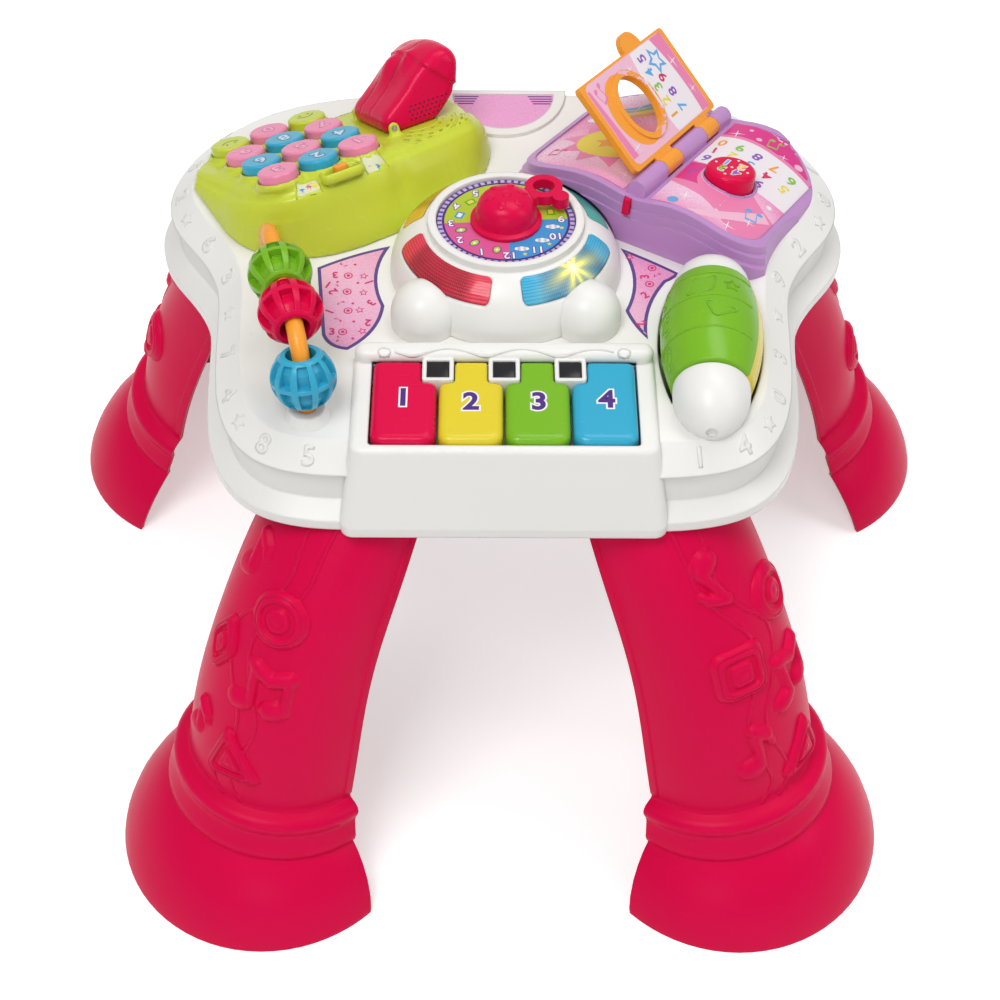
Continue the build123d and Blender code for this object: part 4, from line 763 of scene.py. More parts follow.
def evened(shape, voxel, rounds):
    """The same form, in metres, as a fine even mesh with softened edges."""
    mesh = mesh_of(shape)
    holder = new_object("soft", mesh)
    even = holder.modifiers.new("even", "REMESH")
    even.mode, even.voxel_size, even.use_smooth_shade = "VOXEL", voxel * MM, True
    soften = holder.modifiers.new("soften", "SMOOTH")
    soften.factor, soften.iterations = 0.5, rounds
    shape = shape_of(holder)
    bpy.data.meshes.remove(mesh)
    return shape


def soft_shape(node, voxel, rounds):
    """Fine even mesh of a node with its edges softened, in metres."""
    shape = bmesh.new()
    shape.from_mesh(nodes[node].data)
    bmesh.ops.remove_doubles(shape, verts=shape.verts, dist=2e-6)
    return evened(shape, voxel, rounds)


def replace_with(node, shape, finish, body, smooth_deg=50.0):
    """Show a new shape, in metres, in place of a node, and lay later details on it."""
    skins[node] = BVHTree.FromBMesh(shape)
    made = piece(node + "_skin", shape, finish, body, None, smooth_deg)
    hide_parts(node)


def ease(share):
    """Smooth step from 0 to 1."""
    share = min(1.0, max(0.0, share))
    return share * share * (3.0 - 2.0 * share)


def hill(away, width):
    """Smooth hump of this half width."""
    return exp(-(away / width) ** 2)


def level_at(table, height):
    """Value of a table of (height, value) rows at a height."""
    for (low, first), (high, last) in zip(table, table[1:]):
        if height <= high:
            return first + (last - first) * max(0.0, height - low) / (high - low)
    return table[-1][1]


def plump(strokes, height, step=0.9):
    """Plump raised shape round some strokes: each has a start, an end and a radius."""
    low = [min(min(a[k], b[k]) - r for a, b, r in strokes) - 2 * step for k in (0, 1)]
    high = [max(max(a[k], b[k]) + r for a, b, r in strokes) + 2 * step for k in (0, 1)]
    wide, deep = high[0] - low[0], high[1] - low[1]
    shape = bmesh.new()
    bmesh.ops.create_grid(shape, x_segments=int(wide / step), y_segments=int(deep / step), size=0.5,
                          matrix=Matrix.Translation(((low[0] + high[0]) / 2, (low[1] + high[1]) / 2, 0))
                          @ Matrix.Diagonal((wide, deep, 1, 1)))
    outside = []
    for vert in shape.verts:
        best = -9.0
        for a, b, r in strokes:
            first, last = Vector(a), Vector(b)
            run = last - first
            share = min(1.0, max(0.0, (vert.co.xy - first).dot(run) / max(run.length_squared, 1e-6)))
            away = (vert.co.xy - first - run * share).length
            best = max(best, (1.0 - (away / r) ** 2) * (r / height if r < height else 1.0))
        vert.co.z = height * best ** 0.55 if best > 0 else max(-0.6, 2.0 * best)
        if best < -0.9:
            outside.append(vert)
    bmesh.ops.delete(shape, geom=outside, context="VERTS")
    bmesh.ops.smooth_vert(shape, verts=shape.verts, factor=0.5, use_axis_z=True)
    rim = bmesh.ops.extrude_edge_only(shape, edges=[edge for edge in shape.edges if edge.is_boundary])
    bmesh.ops.translate(shape, verts=[item for item in rim["geom"] if isinstance(item, bmesh.types.BMVert)],
                        vec=(0, 0, -0.3))
    bmesh.ops.holes_fill(shape, edges=[edge for edge in shape.edges if edge.is_boundary])
    bmesh.ops.recalc_face_normals(shape, faces=shape.faces)
    return shape


def plump_note(size, height, pair=False, turn_deg=0.0):
    """Plump music note, or two notes on one beam."""
    if pair:
        strokes = [((-0.42, -0.40), (-0.30, -0.36), 0.2), ((-0.16, -0.36), (-0.2, 0.36), 0.1),
                   ((-0.2, 0.42), (0.12, 0.26), 0.15), ((0.12, 0.26), (0.44, 0.4), 0.15),
                   ((0.44, 0.4), (0.46, -0.3), 0.1), ((0.22, -0.34), (0.32, -0.3), 0.21)]
    else:
        strokes = [((-0.12, -0.42), (0.0, -0.38), 0.24), ((0.13, -0.38), (0.1, 0.4), 0.11),
                   ((0.1, 0.42), (0.32, 0.22), 0.14), ((0.32, 0.22), (0.4, 0.02), 0.1)]
    strokes = [((a[0] * size, a[1] * size), (b[0] * size, b[1] * size), r * size) for a, b, r in strokes]
    shape = plump(strokes, height)
    shape.transform(Matrix.Rotation(radians(turn_deg), 4, "Z"))
    return shape


def outward_plane(spot, angle_deg):
    """Upright work plane that faces outwards in a direction seen from above."""
    angle = radians(angle_deg)
    return work_plane(spot, (-sin(angle), cos(angle), 0), (cos(angle), sin(angle), 0))


def add_to(target, shape, node, near, turn_deg=0.0):
    """Lay a raised shape on a node at the spot nearest to a point."""
    spot, normal, _, _ = skin(node).find_nearest(Vector(near) * MM)
    plane = work_plane(spot / MM, Vector((0, 0, 1)).cross(normal), normal)
    shape.transform(Matrix.Rotation(radians(turn_deg), 4, "Z"))
    lay(shape, plane, node, step=0, reach=12.0)
    join(target, shape)


def flow_line(target, node, angle_deg, spots, width=3.0, height=1.3):
    """Flowing raised line laid over a leg through these spots."""
    origin = spots[len(spots) // 2]
    plane = outward_plane(origin, angle_deg)
    back = plane.inverted()
    flat = [tuple((back @ (Vector(spot) * MM)))[:2] for spot in spots]
    shape = line(flat, width, height)
    lay(shape, plane, node, step=0, reach=60.0)
    join(target, shape)


# (outline, or size, height, pair and turn of a note; nearest point; turn)
leg_motifs = {
    "leg_front_left": [
        ("round", (-120.4, -157.4, 204.9), 0),
        ("pointed", (-152.6, -148.4, 174.8), 0),
        ((33, 4.0, True, -8), (-132.2, -174.3, 163.7), 0),
        ("triangle", (-152.9, -184.5, 111.4), -10),
        ((28, 3.2), (-133.1, -124, 226.7), 10),
        ((26, 3.6), (-172.8, -158.4, 122.0), 6)],
    "leg_front_right": [
        ((30, 3.6, False, 190), (113.6, -145.8, 226.2), 20),
        ("round", (146, -132.5, 201), 0),
        ("square", (130.2, -169.3, 174.9), 4),
        ((32, 4.2, True), (159.7, -153.7, 155.7), 0),
        ((32, 4.2), (140.6, -186.3, 124.1), 8),
        ("triangle", (172.2, -167.6, 101.6), 90)],
    "leg_rear_left": [
        ("round", (-228.4, 130.5, 137.5), 0),
        ("square", (-212.0, 158.0, 185.0), 8),
        ((31, 4.0, True), (-236.0, 158.0, 120.0), 0),
        ((29, 3.8), (-205.0, 128.0, 205.0), 0),
        ("triangle", (-205.0, 192.0, 130.0), 20)],
    "leg_rear_right": [
        ("round", (233.9, 138.8, 122.9), 0),
        ("square", (212.0, 150.0, 185.0), 8),
        ((31, 4.0, True), (218.0, 180.0, 140.0), 0),
        ((29, 3.8), (205.0, 128.0, 210.0), 0),
        ("triangle", (232.0, 168.0, 95.0), 20)],
}
leg_facing = {"leg_front_left": -120.0, "leg_front_right": -60.0,
              "leg_rear_left": 160.0, "leg_rear_right": 20.0}


def motif(kind):
    """Raised shape of a leg: one of the outlines, or a note."""
    return relief(motif_outlines[kind], motif_levels) if kind in motif_outlines else plump_note(*kind)


def leg_lines(node):
    """Pair of flowing lines that winds down a leg, as places in the frame."""
    x_sign = -1 if "left" in node else 1
    if "front" in node:
        first = [(92, -143, 256), (98, -146, 240), (103, -151, 222), (118, -150, 205), (134, -150, 190),
                 (139, -168, 165), (134, -182, 140), (150, -188, 112), (158, -188, 92), (150, -196, 82)]
        second = [(106, -140, 258), (110, -141, 244), (112, -146, 226), (124, -142, 208), (145, -140, 192),
                  (150, -158, 166), (143, -176, 140), (160, -180, 112), (168, -178, 93), (160, -188, 82)]
    else:
        first = [(188, 110, 250), (196, 122, 230), (206, 142, 205), (216, 138, 180), (222, 150, 150),
                 (226, 168, 120), (236, 160, 98), (240, 150, 84)]
        second = [(190, 122, 250), (198, 134, 230), (208, 154, 205), (220, 150, 180), (222, 164, 150),
                  (224, 182, 120), (238, 172, 98), (244, 162, 84)]
    return [[(x * x_sign, y, z) for x, y, z in path] for path in (first, second)]


leg_feet = {"leg_front_left": ((-141.0, -156.0), 225.0), "leg_front_right": ((141.0, -156.0), -45.0),
            "leg_rear_left": ((-204.0, 156.0), 150.0), "leg_rear_right": ((204.0, 156.0), 30.0)}
bell_radius = [(0, 90), (4, 89.6), (12, 87.2), (22, 82.4), (30, 76.8), (36, 71.4), (40.6, 65.9), (41.4, 66.0),
               (43, 66.8), (46, 67.0), (52, 65.4), (57, 64.3), (59, 64.4), (61, 65.1), (63, 65.7), (65, 65.6),
               (67, 64.5), (68.4, 62.6), (69.4, 60.0), (70.4, 57.7), (72, 57.0), (74, 56.9)]
leg_wall, leg_shoulder = 3.2, 259.2
peg_inset, peg_low, peg_top = 10.0, 258.6, 284.0
leg_steps = [0, 1.2, 4, 8, 12, 17, 22, 26, 30, 33, 36, 38.5, 40.6, 41.0, 41.4, 42.2, 43, 44.5, 46, 49, 52, 55, 57,
             58, 59, 60, 61, 62, 63, 64, 65, 66, 67, 67.7, 68.4, 68.9, 69.4, 69.9, 70.4, 71.2, 72, 74, 78, 84,
             *range(92, 268, 8)]
leg_turns = [-90, -88.4, -86.8, -85.6, -84.8, -84.0, -82, -79, *range(-75, 76, 5), 79, 82, 84.0, 84.8, 85.6, 86.8,
             88.4, 90]


def leg_axis(height):
    """How far a leg has leaned inwards at a height, and the tilt of its section there."""
    turn = max(height - 69.0, 0.0)
    lean = 0.265 * min(height, 69.0) + 0.235 * turn + 0.00105 * turn * turn
    return lean, atan2((0.235 + 0.0021 * turn) * min(height / 41.0, 1.0), 1.0) * 0.8


def shaft_radius(height):
    """Outer radius of a leg above its band."""
    turn = height - 69.0
    return 56.9 + 0.038 * turn - 0.00061 * turn * turn


def leg_wall_shape(node, heights, shrink=0.0):
    """Half-shell of a leg through these heights; its open edges have a lip and curve in at half height."""
    (foot_x, foot_y), angle_deg = leg_feet[node]
    out = Vector((cos(radians(angle_deg)), sin(radians(angle_deg)), 0))
    side = Vector((-out.y, out.x, 0))
    round_trip = [(turn, 0.0) for turn in leg_turns] + [(turn, leg_wall) for turn in reversed(leg_turns)]
    round_trip.append(round_trip[0])
    shape = bmesh.new()
    bmesh.ops.create_grid(shape, x_segments=len(round_trip) - 1, y_segments=len(heights) - 1, size=0.5)
    for vert in shape.verts:
        turn_deg, depth = round_trip[round((vert.co.x + 0.5) * (len(round_trip) - 1))]
        height = heights[round((vert.co.y + 0.5) * (len(heights) - 1))]
        lean, tilt = leg_axis(height)
        radius = (level_at(bell_radius, height) if height < 73.0 else shaft_radius(height)) - shrink - depth
        lip = abs(turn_deg) > 84.5 and depth == 0.0 and not shrink
        radius += 1.1 * ease((height - 71.0) / 3.0) if lip else 0.0
        turn = radians(turn_deg)
        pull = 1.0 - 0.105 * hill(height - 158.0, 62.0) * abs(sin(turn)) ** 3
        reach, across = radius * cos(turn), radius * sin(turn) * pull
        vert.co = (Vector((foot_x, foot_y, height + reach * sin(tilt))) + out * (reach * cos(tilt) - lean)
                   + side * across)
    bmesh.ops.remove_doubles(shape, verts=shape.verts, dist=1e-4)
    return shape


def trimmed(shape, low, high):
    """A shell cut off level at two heights and closed there."""
    for height, up in ((low, -1), (high, 1)):
        bmesh.ops.bisect_plane(shape, geom=everything(shape), dist=1e-4, plane_co=(0, 0, height),
                               plane_no=(0, 0, up), clear_outer=True)
        rim = [edge for edge in shape.edges
               if edge.is_boundary and all(abs(vert.co.z - height) < 0.01 for vert in edge.verts)]
        bmesh.ops.triangle_fill(shape, edges=rim, use_beauty=True)
    bmesh.ops.recalc_face_normals(shape, faces=shape.faces)
    return shape


for leg in leg_names:
    leg_shape = trimmed(leg_wall_shape(leg, leg_steps), 0.0, leg_shoulder)
    put(leg_shape, trimmed(leg_wall_shape(leg, list(range(215, 299, 6)), peg_inset), peg_low, peg_top))
    leg_shape.transform(Matrix.Scale(MM, 4))
    replace_with(leg, leg_shape, leg_plastic, "casing", 35.0)
    motifs = bmesh.new()
    for kind, near, turn in leg_motifs[leg]:
        add_to(motifs, motif(kind), leg, near, turn)
    for path in leg_lines(leg):
        flow_line(motifs, leg, leg_facing[leg], path, 2.6, 0.8)
    piece(leg + "_motifs", motifs, leg_plastic, "casing", None, 50.0)

# ---- Raised digits and shapes round the band of the table ----
band_marks = bmesh.new()
band_places = [(106, -136.5), (133, -126.5), (151, -106), (160, -82), (163.5, -50), (165, -18), (168, 8),
               (180, 32), (195, 55), (201.5, 80), (196, 112), (177, 145), (147, 169), (104, 184)]
for sign in (-1, 1):
    for k, (x, y) in enumerate(band_places):
        before, after = band_places[max(k - 1, 0)], band_places[min(k + 1, len(band_places) - 1)]
        inward = Vector((before[1] - after[1], after[0] - before[0])).normalized() * 14.5
        mark = (digits(str((k * 3 + (5 if sign < 0 else 1)) % 10), 15.0, 0.42, 0.35, 0.12) if k % 3 != 2 else
                star(5, 5.4, 2.5, 0.42, 0.15, 0.8))
        add_to(band_marks, mark, "top_shell", ((x + inward.x) * sign, y + inward.y, 298.0))
piece("band_marks", band_marks, white_plastic, "casing", None, 50.0)

# ---- Piano keyboard: digits, painted shade in the gaps between the keys, wavy line ----
label_places = [(-52.8, -94.0), (-17.4, -96.7), (18.0, -96.5), (53.4, -94.8)]
for index, (x, y) in enumerate(label_places):
    words = str(index + 1)
    key_node, colour = "piano_key_" + words, ("crimson", "yellow", "green", "blue")[index]
    replace_with(key_node, soft_shape(key_node, 0.75, 24), finish_of[colour], key_node)
    label = bmesh.new()
    edged_digits(label, words, 17.0, (0.08, 1.5, -0.02), (0.14, 0.55, 0.05))
    lay(label, level_plane(x, y, key_top_z), key_node, 4.0, 10.0)
    piece(key_node + "_digit", label, [white_ink, violet_ink], key_node)
# Dark slabs in the gaps between the keys: painted shade.
for index, x in enumerate((-key_pitch, 0.0, key_pitch)):
    gap_shade = slab(rounded(block(5.9, 6.1), 1.2), 312.5, 0, 0.5, 309.5)
    piece("key_pane_%d" % (index + 1), gap_shade, dark_plastic, "casing", level_plane(x, -73.55, 0))
wave = bmesh.new()
points = [(x, -63.1 + 1.7 * sin(x / 6.2)) for x in range(-58, 59, 2)]
put(wave, line(points, 1.1, 0.55))
for x in (-63.5, 63.5):
    put(wave, line(oval(3.2, 2.4, 20), 1.1, 0.55, True), x, -63.1)
lay(wave, level_plane(0, 0, 318), "top_shell", 0, 12.0)
piece("key_rim_wave", wave, white_plastic, "casing", None, 60.0)

# ---- Clock face and knob ----
face_inks = [
    *inks_of("face", violet=(0.10, 0.035, 0.26), lavender=(0.50, 0.42, 0.66), magenta=(0.66, 0.10, 0.28),
             lime=(0.45, 0.56, 0.035), blue=(0.05, 0.28, 0.62)), white_ink,
    *inks_of("face", yellow=(0.82, 0.66, 0.05), crimson=(0.62, 0.02, 0.08), green=(0.12, 0.42, 0.03))]


def sector(inner, outer, start_deg, end_deg, height, steps=24):
    """Flat sector of a ring."""
    angles = [start_deg + (end_deg - start_deg) * k / steps for k in range(steps + 1)]
    outline = [around(outer, angle) for angle in angles] + [around(inner, angle) for angle in reversed(angles)]
    return slab(outline, height, base=-0.02)


def hour_angle(hour):
    """Direction of an hour on the face, which is read from the rear."""
    return -86.0 - 30.0 * hour


face = bmesh.new()
put(face, sector(35.2, 37.7, 0, 360, 0.05, 96), ink=1)
for k in range(60):
    put(face, slab(block(0.75, 1.2), 0.09, base=0.03), *around(36.5, 6.0 * k), 6.0 * k + 90, ink=0)
for first, last, colour in ((0, 3, 2), (3, 9, 3), (9, 12, 4)):
    put(face, sector(12.0, 33.9, hour_angle(last), hour_angle(first), 0.05, 48), ink=colour)
for hour in range(1, 13):
    edged_digits(face, str(hour), 7.6, (0.10, 0.55, 0.03), (0.14, 0.12, 0.06),
                 *around(30.3, hour_angle(hour)), 184, (0, 5))
    angle = hour_angle(hour + 0.5)
    x, y = around(26.0, angle)
    if hour in (9, 10, 11):
        for dx, radius in ((-2.2, 1.7), (0, 2.4), (2.3, 1.6)):
            put(face, disc(radius, 0.09, 0, 20, 0.8, 0.03), x + dx, y, ink=5)
        put(face, star(5, 1.5, 0.7, 0.1, base=0.03), *around(5.0, angle, x, y), ink=6)
    elif hour in (12, 1, 2):
        put(face, disc(3.3, 0.08, 0, 24, 0.75, 0.03), x, y, angle, ink=0)
        put(face, disc(2.7, 0.11, 0, 24, 0.7, 0.05), x, y, angle, ink=3)
        put(face, star(4, 1.6, 0.6, 0.13, base=0.07), x, y, angle, ink=5)
    else:
        put(face, slab(block(2.9, 2.3), 0.08, 0.5, 0, 0.03), x, y, angle + 78, ink=4 if hour % 2 else 8)
        put(face, slab(block(1.8, 1.3), 0.11, 0.3, 0, 0.05), x, y, angle + 78, ink=5 if hour % 2 else 6)
piece("clock_face_print", face, face_inks, "casing", raised(dome_plane, dial_top))

knob_marks = bmesh.new()
low_dome = [(size, rise * 0.8 / 3.0 if rise > 0.2 else rise) for size, rise in dome_levels]
for k in range(6):
    put(knob_marks, relief(oval(2.9, 2.1, 20), low_dome), *around(9.4, 60 * k + 15), 60 * k + 15)
put(knob_marks, relief(oval(3.0, 3.0, 20), low_dome))
lay(knob_marks, raised(dome_plane, 45.0), "spinner", 0, 12.0)
piece("knob_marks", knob_marks, crimson_plastic, "spinner", None, 60.0)

# ---- Roller halves, their raised marks and the round caps at both ends ----
roller_ends, roller_wall, axle_radius = (-40.0, 31.0), 2.6, 3.0
roller_axis_plane = roller_plane @ Matrix.Rotation(-pi / 2, 4, "X")


def roller_radius(along):
    """Radius of the roller at a place along its axis."""
    return 27.5 - 0.0043 * (along + 3.0) ** 2


def roller_half(start_deg):
    """Half of the hollow roller, from a direction round its axis on."""
    low, high = roller_ends
    spots = [low + 0.7 + (high - low - 1.4) * k / 20 for k in range(21)]
    outer = [(roller_radius(along), along) for along in spots]
    outer = [(roller_radius(low) - 0.9, low), *outer, (roller_radius(high) - 0.9, high)]
    inner = [(roller_radius(along) - roller_wall, along) for along in reversed(spots[2:-2])]
    profile = [*outer, (axle_radius, high), (axle_radius, high - roller_wall), *inner,
               (axle_radius, low + roller_wall), (axle_radius, low)]
    start = radians(start_deg)
    shape = bmesh.new()
    verts = [shape.verts.new((radius * cos(start), radius * sin(start), along)) for radius, along in profile]
    shape.faces.new(verts)
    bmesh.ops.spin(shape, geom=everything(shape), cent=(0, 0, 0), axis=(0, 0, 1), angle=pi, steps=40)
    bmesh.ops.recalc_face_normals(shape, faces=shape.faces)
    return shape


def on_roller(shape):
    """Wrap a flat shape round the roller, its middle on top."""
    for vert in shape.verts:
        radius = roller_radius(vert.co.y)
        turn = vert.co.x / radius - pi / 2
        vert.co = Vector(((radius + vert.co.z) * cos(turn), (radius + vert.co.z) * sin(turn), vert.co.y))
    return shape


for node, start_deg, colour in (("roller_green", 150.0, "green"), ("roller_yellow", -30.0, "yellow")):
    half = roller_half(start_deg)
    half.transform(roller_axis_plane)
    replace_with(node, half, finish_of[colour], "roller", 40.0)
roller_marks = bmesh.new()
for along in (22.5, 2.5, -20.0):
    put(roller_marks, on_roller(line([(2.0 * k, along, 0.0) for k in range(-36, 12)], 1.1, 0.7, False, False)))
trapezoid = rounded([(-16, 5), (-13, 18.5), (0.5, 19), (-1.5, 6.5)], 2.5)
three_sided = rounded([(-5.5, -1.5), (-0.5, -14), (13, -6.5)], 3.5)
for outline in (trapezoid, three_sided):
    put(roller_marks, on_roller(line(outline, 1.2, 0.85, True, False)))
five_points = [around(4.4 if k % 2 == 0 else 2.2, 90 - 36 * k, 9, 12.5) for k in range(10)]
put(roller_marks, on_roller(line(five_points, 1.0, 0.75, True, False)))
for x, y in ((-31, -8), (-30, -29), (-33, 14)):
    for size in (1.0, 0.55):
        egg = [(x + u * size, y + v * size) for u, v in oval(4.5, 6.5, 24)]
        put(roller_marks, on_roller(line(egg, 0.8, 0.4, True, False)))
piece("roller_marks", roller_marks, green_plastic, "roller", roller_axis_plane, 60.0)
roller_caps = turned([(2.6, -40.7), (19.8, -40.7), (20.4, -41.3), (20.6, -44), (20.2, -50), (18.8, -56),
                      (16.2, -61.5), (12.8, -66), (8.6, -69.6), (4.4, -71.8), (2.6, -72.2)], 64)
put(roller_caps, turned([(2.6, 31.7), (20.8, 31.7), (21.4, 32.3), (21.2, 35), (20.4, 39), (18.8, 43),
                         (16.4, 46.2), (13.0, 48.0), (2.6, 48.4)], 64))
piece("roller_caps", roller_caps, white_plastic, "casing", roller_axis_plane)

# ---- Stripes on the bare rear insert ----
stripes = bmesh.new()
for k in range(4):
    for end in (-1, 1):
        put(stripes, slab(block((14.5 - k) / 2, 0.4), 0.14, base=0.0), end * (44.5 + k) / 2, 165.0 - 2.3 * k)
lay(stripes, level_plane(0, 0, 312), "name_plate", 2.0, 12.0)
piece("plate_stripes", stripes, face_inks[0], "casing", None, 60.0)

# ---- Stickers on the deck ----
mark_ink = ink("sticker_marks", (0.60, 0.03, 0.16))
sticker_shapes = {
    "sticker_left": bowed([(-104, 13), (-64, 31.2), (-65.5, -17.4), (-84, -51.7), (-98.4, -40.3)],
                          [-1.5, 5.5, -4.5, -3.0, 0.0]),
    "sticker_right": bowed([(66, 30.3), (98.0, 9.5), (90.0, 2.5), (77.8, -42.6), (66.6, -20.5)],
                           [-0.6, -0.6, 4.0, -1.2, 5.5]),
}
for node, outline in sticker_shapes.items():
    made = bmesh.new()
    put(made, sheet(outline, [], 0.22, 0.02), ink=0)
    put(made, sheet(inset(outline, 1.9), [], 0.27, 0.1), ink=1)
    room = inset(outline, 4.4)
    for row in range(-7, 6):
        for column in range(-14, 14):
            x = column * 8.2 + (4.1 if row % 2 else 0.0) + 1.2 * sin(5.0 * row + 3.0 * column)
            y = row * 7.4 + 1.2 * cos(4.0 * row + 7.0 * column)
            if not within(room, x, y):
                continue
            kind, turn = (column * 5 + row * 3) % 6, 47 * column + 31 * row
            if kind in (0, 3):
                put(made, digits(str((column + 2 * row) % 3 + 1), 7.0, 0.33, 0.22, 0, 0.2), x, y, turn, ink=2)
            elif kind == 1:
                put(made, star(5, 2.7, 1.3, 0.33, base=0.2), x, y, turn, ink=2)
                put(made, star(5, 1.6, 0.75, 0.36, base=0.3), x, y, turn, ink=1)
            elif kind == 2:
                for radius, height, steps, base, colour in ((2.5, 0.33, 24, 0.2, 2), (1.8, 0.36, 24, 0.3, 1),
                                                            (1.0, 0.39, 20, 0.3, 2)):
                    put(made, disc(radius, height, 0, steps, 1.0, base), x, y, ink=colour)
            elif kind == 4:
                put(made, disc(0.8, 0.33, 0, 16, 1.0, 0.2), x, y, ink=2)
            else:
                put(made, note(4.2, 0.33), x, y, turn, ink=2)
    made = piece(node + "_print", made, [sticker_border, sticker_print, mark_ink], "casing",
                 deck_plane)
    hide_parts(node)

# ---- Telephone: soft body and handset, digits, marks, sticker strip, speaker slots and holes in painted shade ----


def arc_rounded(corners, radii, steps=12):
    """Outline through these corners, each rounded by an arc of its radius; it runs anticlockwise."""
    points = []
    for k, corner in enumerate(corners):
        here = Vector(corner)
        first = (Vector(corners[k - 1]) - here).normalized()
        last = (Vector(corners[(k + 1) % len(corners)]) - here).normalized()
        middle = (first + last).normalized()
        half = first.angle(last) / 2
        centre = here + middle * radii[k] / sin(half)
        start = here + first * radii[k] / sin(half) * cos(half) - centre
        end = here + last * radii[k] / sin(half) * cos(half) - centre
        for step in range(steps + 1):
            arm = start.lerp(end, step / steps)
            points.append(tuple(centre + arm.normalized() * radii[k]))
    return points


phone_round, phone_draft, draft_cosine = 17.0, 0.2126, 0.978
phone_outline = arc_rounded([(-57, -70), (32, -67), (110, -48), (119, 8), (104, 60), (-57, 62)],
                            [45.5, 6.2, 17.3, 6.7, 14.9, 46.5])
phone_floor = level_plane(*phone_spot, deck_z, radians(phone_yaw))
outline_parts = 12
outline_tree = KDTree(len(phone_outline) * outline_parts)
for k, (x, y) in enumerate(phone_outline):
    next_x, next_y = phone_outline[(k + 1) % len(phone_outline)]
    for step in range(outline_parts):
        share = step / outline_parts
        outline_tree.insert((x + (next_x - x) * share, y + (next_y - y) * share, 0.0), k * outline_parts + step)
outline_tree.balance()
to_floor, to_top = phone_floor.inverted(), raised(keypad_plane, -phone_deck_drop).inverted()
top_normal = (keypad_plane.to_3x3() @ Vector((0, 0, 1))).normalized()
to_keys = keypad_plane.inverted()
key_spots = [(column * keypad_pitch, (row - 1.5) * keypad_pitch) for column in range(-1, 2) for row in range(4)]
slider_x, slider_y = 5.5, -54.5


def round_phone_rim(shape):
    """Round the upper rim of the telephone body with a wide radius."""
    for vert in shape.verts:
        under = -(to_top @ vert.co).z
        flat = to_floor @ vert.co
        round_here = min(phone_round, 0.8 * (flat.z + under))
        if under < -0.25 or under > round_here:
            continue
        edge_spot, _, _ = outline_tree.find((flat.x, flat.y, 0.0))
        inward = Vector((flat.x, flat.y, 0.0)) - edge_spot
        if inward.length < 1e-6:
            continue
        inside = (inward.length - flat.z * phone_draft) * draft_cosine
        if inside > round_here or inside < -4.0:
            continue
        down, across = round_here - max(under, 0.0), round_here - inside
        reach = hypot(down, across)
        skin_round = round_here - max(0.0, min(under, inside))
        if reach <= skin_round:
            continue
        share = 1.0 - skin_round / reach
        aside = (phone_floor.to_3x3() @ inward).normalized()
        vert.co += (aside * (across * share) - top_normal * (down * share)) * MM


def flare_phone_front(shape):
    """Let the front side of the telephone body flare out towards its foot, with a dent."""
    for vert in shape.verts:
        flat = to_floor @ vert.co
        if flat.y > -20.0:
            continue
        edge_spot, _, _ = outline_tree.find((flat.x, flat.y, 0.0))
        near = 1.0 - ease((flat.xy - edge_spot.xy).length / 24.0)
        flare = 8.0 * ease((flat.x + 45.0) / 55.0) * ease((108.0 - flat.x) / 26.0)
        flare = flare * ease(1.0 - flat.z / 34.0) * near
        dent = 2.4 * hill(flat.x - 38.0, 8.0) * ease(flat.z / 22.0) * near
        vert.co += phone_floor.to_3x3() @ Vector((0, dent - flare, 0))


def deepen_wells(shape):
    """Make room under the keys and the slider: the floors of their wells lie lower than in the even mesh."""
    for vert in shape.verts:
        spot = to_keys @ vert.co
        nearest = min(key_spots, key=lambda place: hypot(spot.x - place[0], spot.y - place[1]))
        away = hypot(spot.x - nearest[0], spot.y - nearest[1])
        if -15.0 < spot.z < -8.6 and 1.0 < away < 12.2:
            wider = min(away + 0.75, 12.25) / away if away > 9.0 else 1.0
            spot.x, spot.y = (nearest[k] + (spot[k] - nearest[k]) * wider for k in (0, 1))
            spot.z -= 0.7 * ease((-10.5 - spot.z) / 2.0)
            vert.co = keypad_plane @ spot
        elif abs(spot.x - slider_x) < 11.0 and abs(spot.y - slider_y) < 4.0 and -12.5 < spot.z < -7.6:
            vert.co -= top_normal * 0.5 * MM


phone_body = soft_shape("phone_base", 1.0, 2)
round_phone_rim(phone_body)
flare_phone_front(phone_body)
phone_body = evened(phone_body, 1.0, 4)
deepen_wells(phone_body)
replace_with("phone_base", phone_body, lime_plastic, "casing")

handset_plane = raised(keypad_plane, 0.4 - phone_deck_drop)
to_handset = handset_plane.inverted()
handset_turn = handset_plane.to_3x3()
seam_places = (10.0, -3.5)


def swell_handset(shape):
    """Round out the ear end of the handset: a cap, a ball, a knuckle and two seams."""
    shape.normal_update()
    for vert in shape.verts:
        x, y, z = to_handset @ vert.co
        facing = (handset_turn.transposed() @ vert.normal).normalized()
        cap = ease(((x - 81.0) * 0.62 + (z - 27.5) * 0.78 + 0.7) / 1.4)
        move = facing * (0.7 + 1.5 * cap)
        move.z += 5.0 * hill(y + 7.0, 24.0) * ease((x - 62.0) / 20.0) * ease((z - 12.0) / 14.0)
        top = ease((z - 14.0) / 4.0)
        ball = hill(hypot(x - 73.0, y - 6.0), 8.5) * top
        knuckle = hill(hypot(x - 78.5, y + 8.5), 5.0) * top
        move += Vector((-0.45, 0, 0.9)) * (4.6 * ball + 2.6 * knuckle)
        for seam in seam_places:
            if abs(y - seam) < 1.2 and facing.z > 0.2:
                move -= facing * 0.3 * (1.0 - abs(y - seam) / 1.2)
        vert.co += handset_turn @ move


handset_body = soft_shape("handset", 0.7, 110)
swell_handset(handset_body)
replace_with("handset", handset_body, crimson_plastic, "handset")
seam_ink = plastic("deep_crimson_plastic", (0.34, 0.001, 0.022), 0.4)
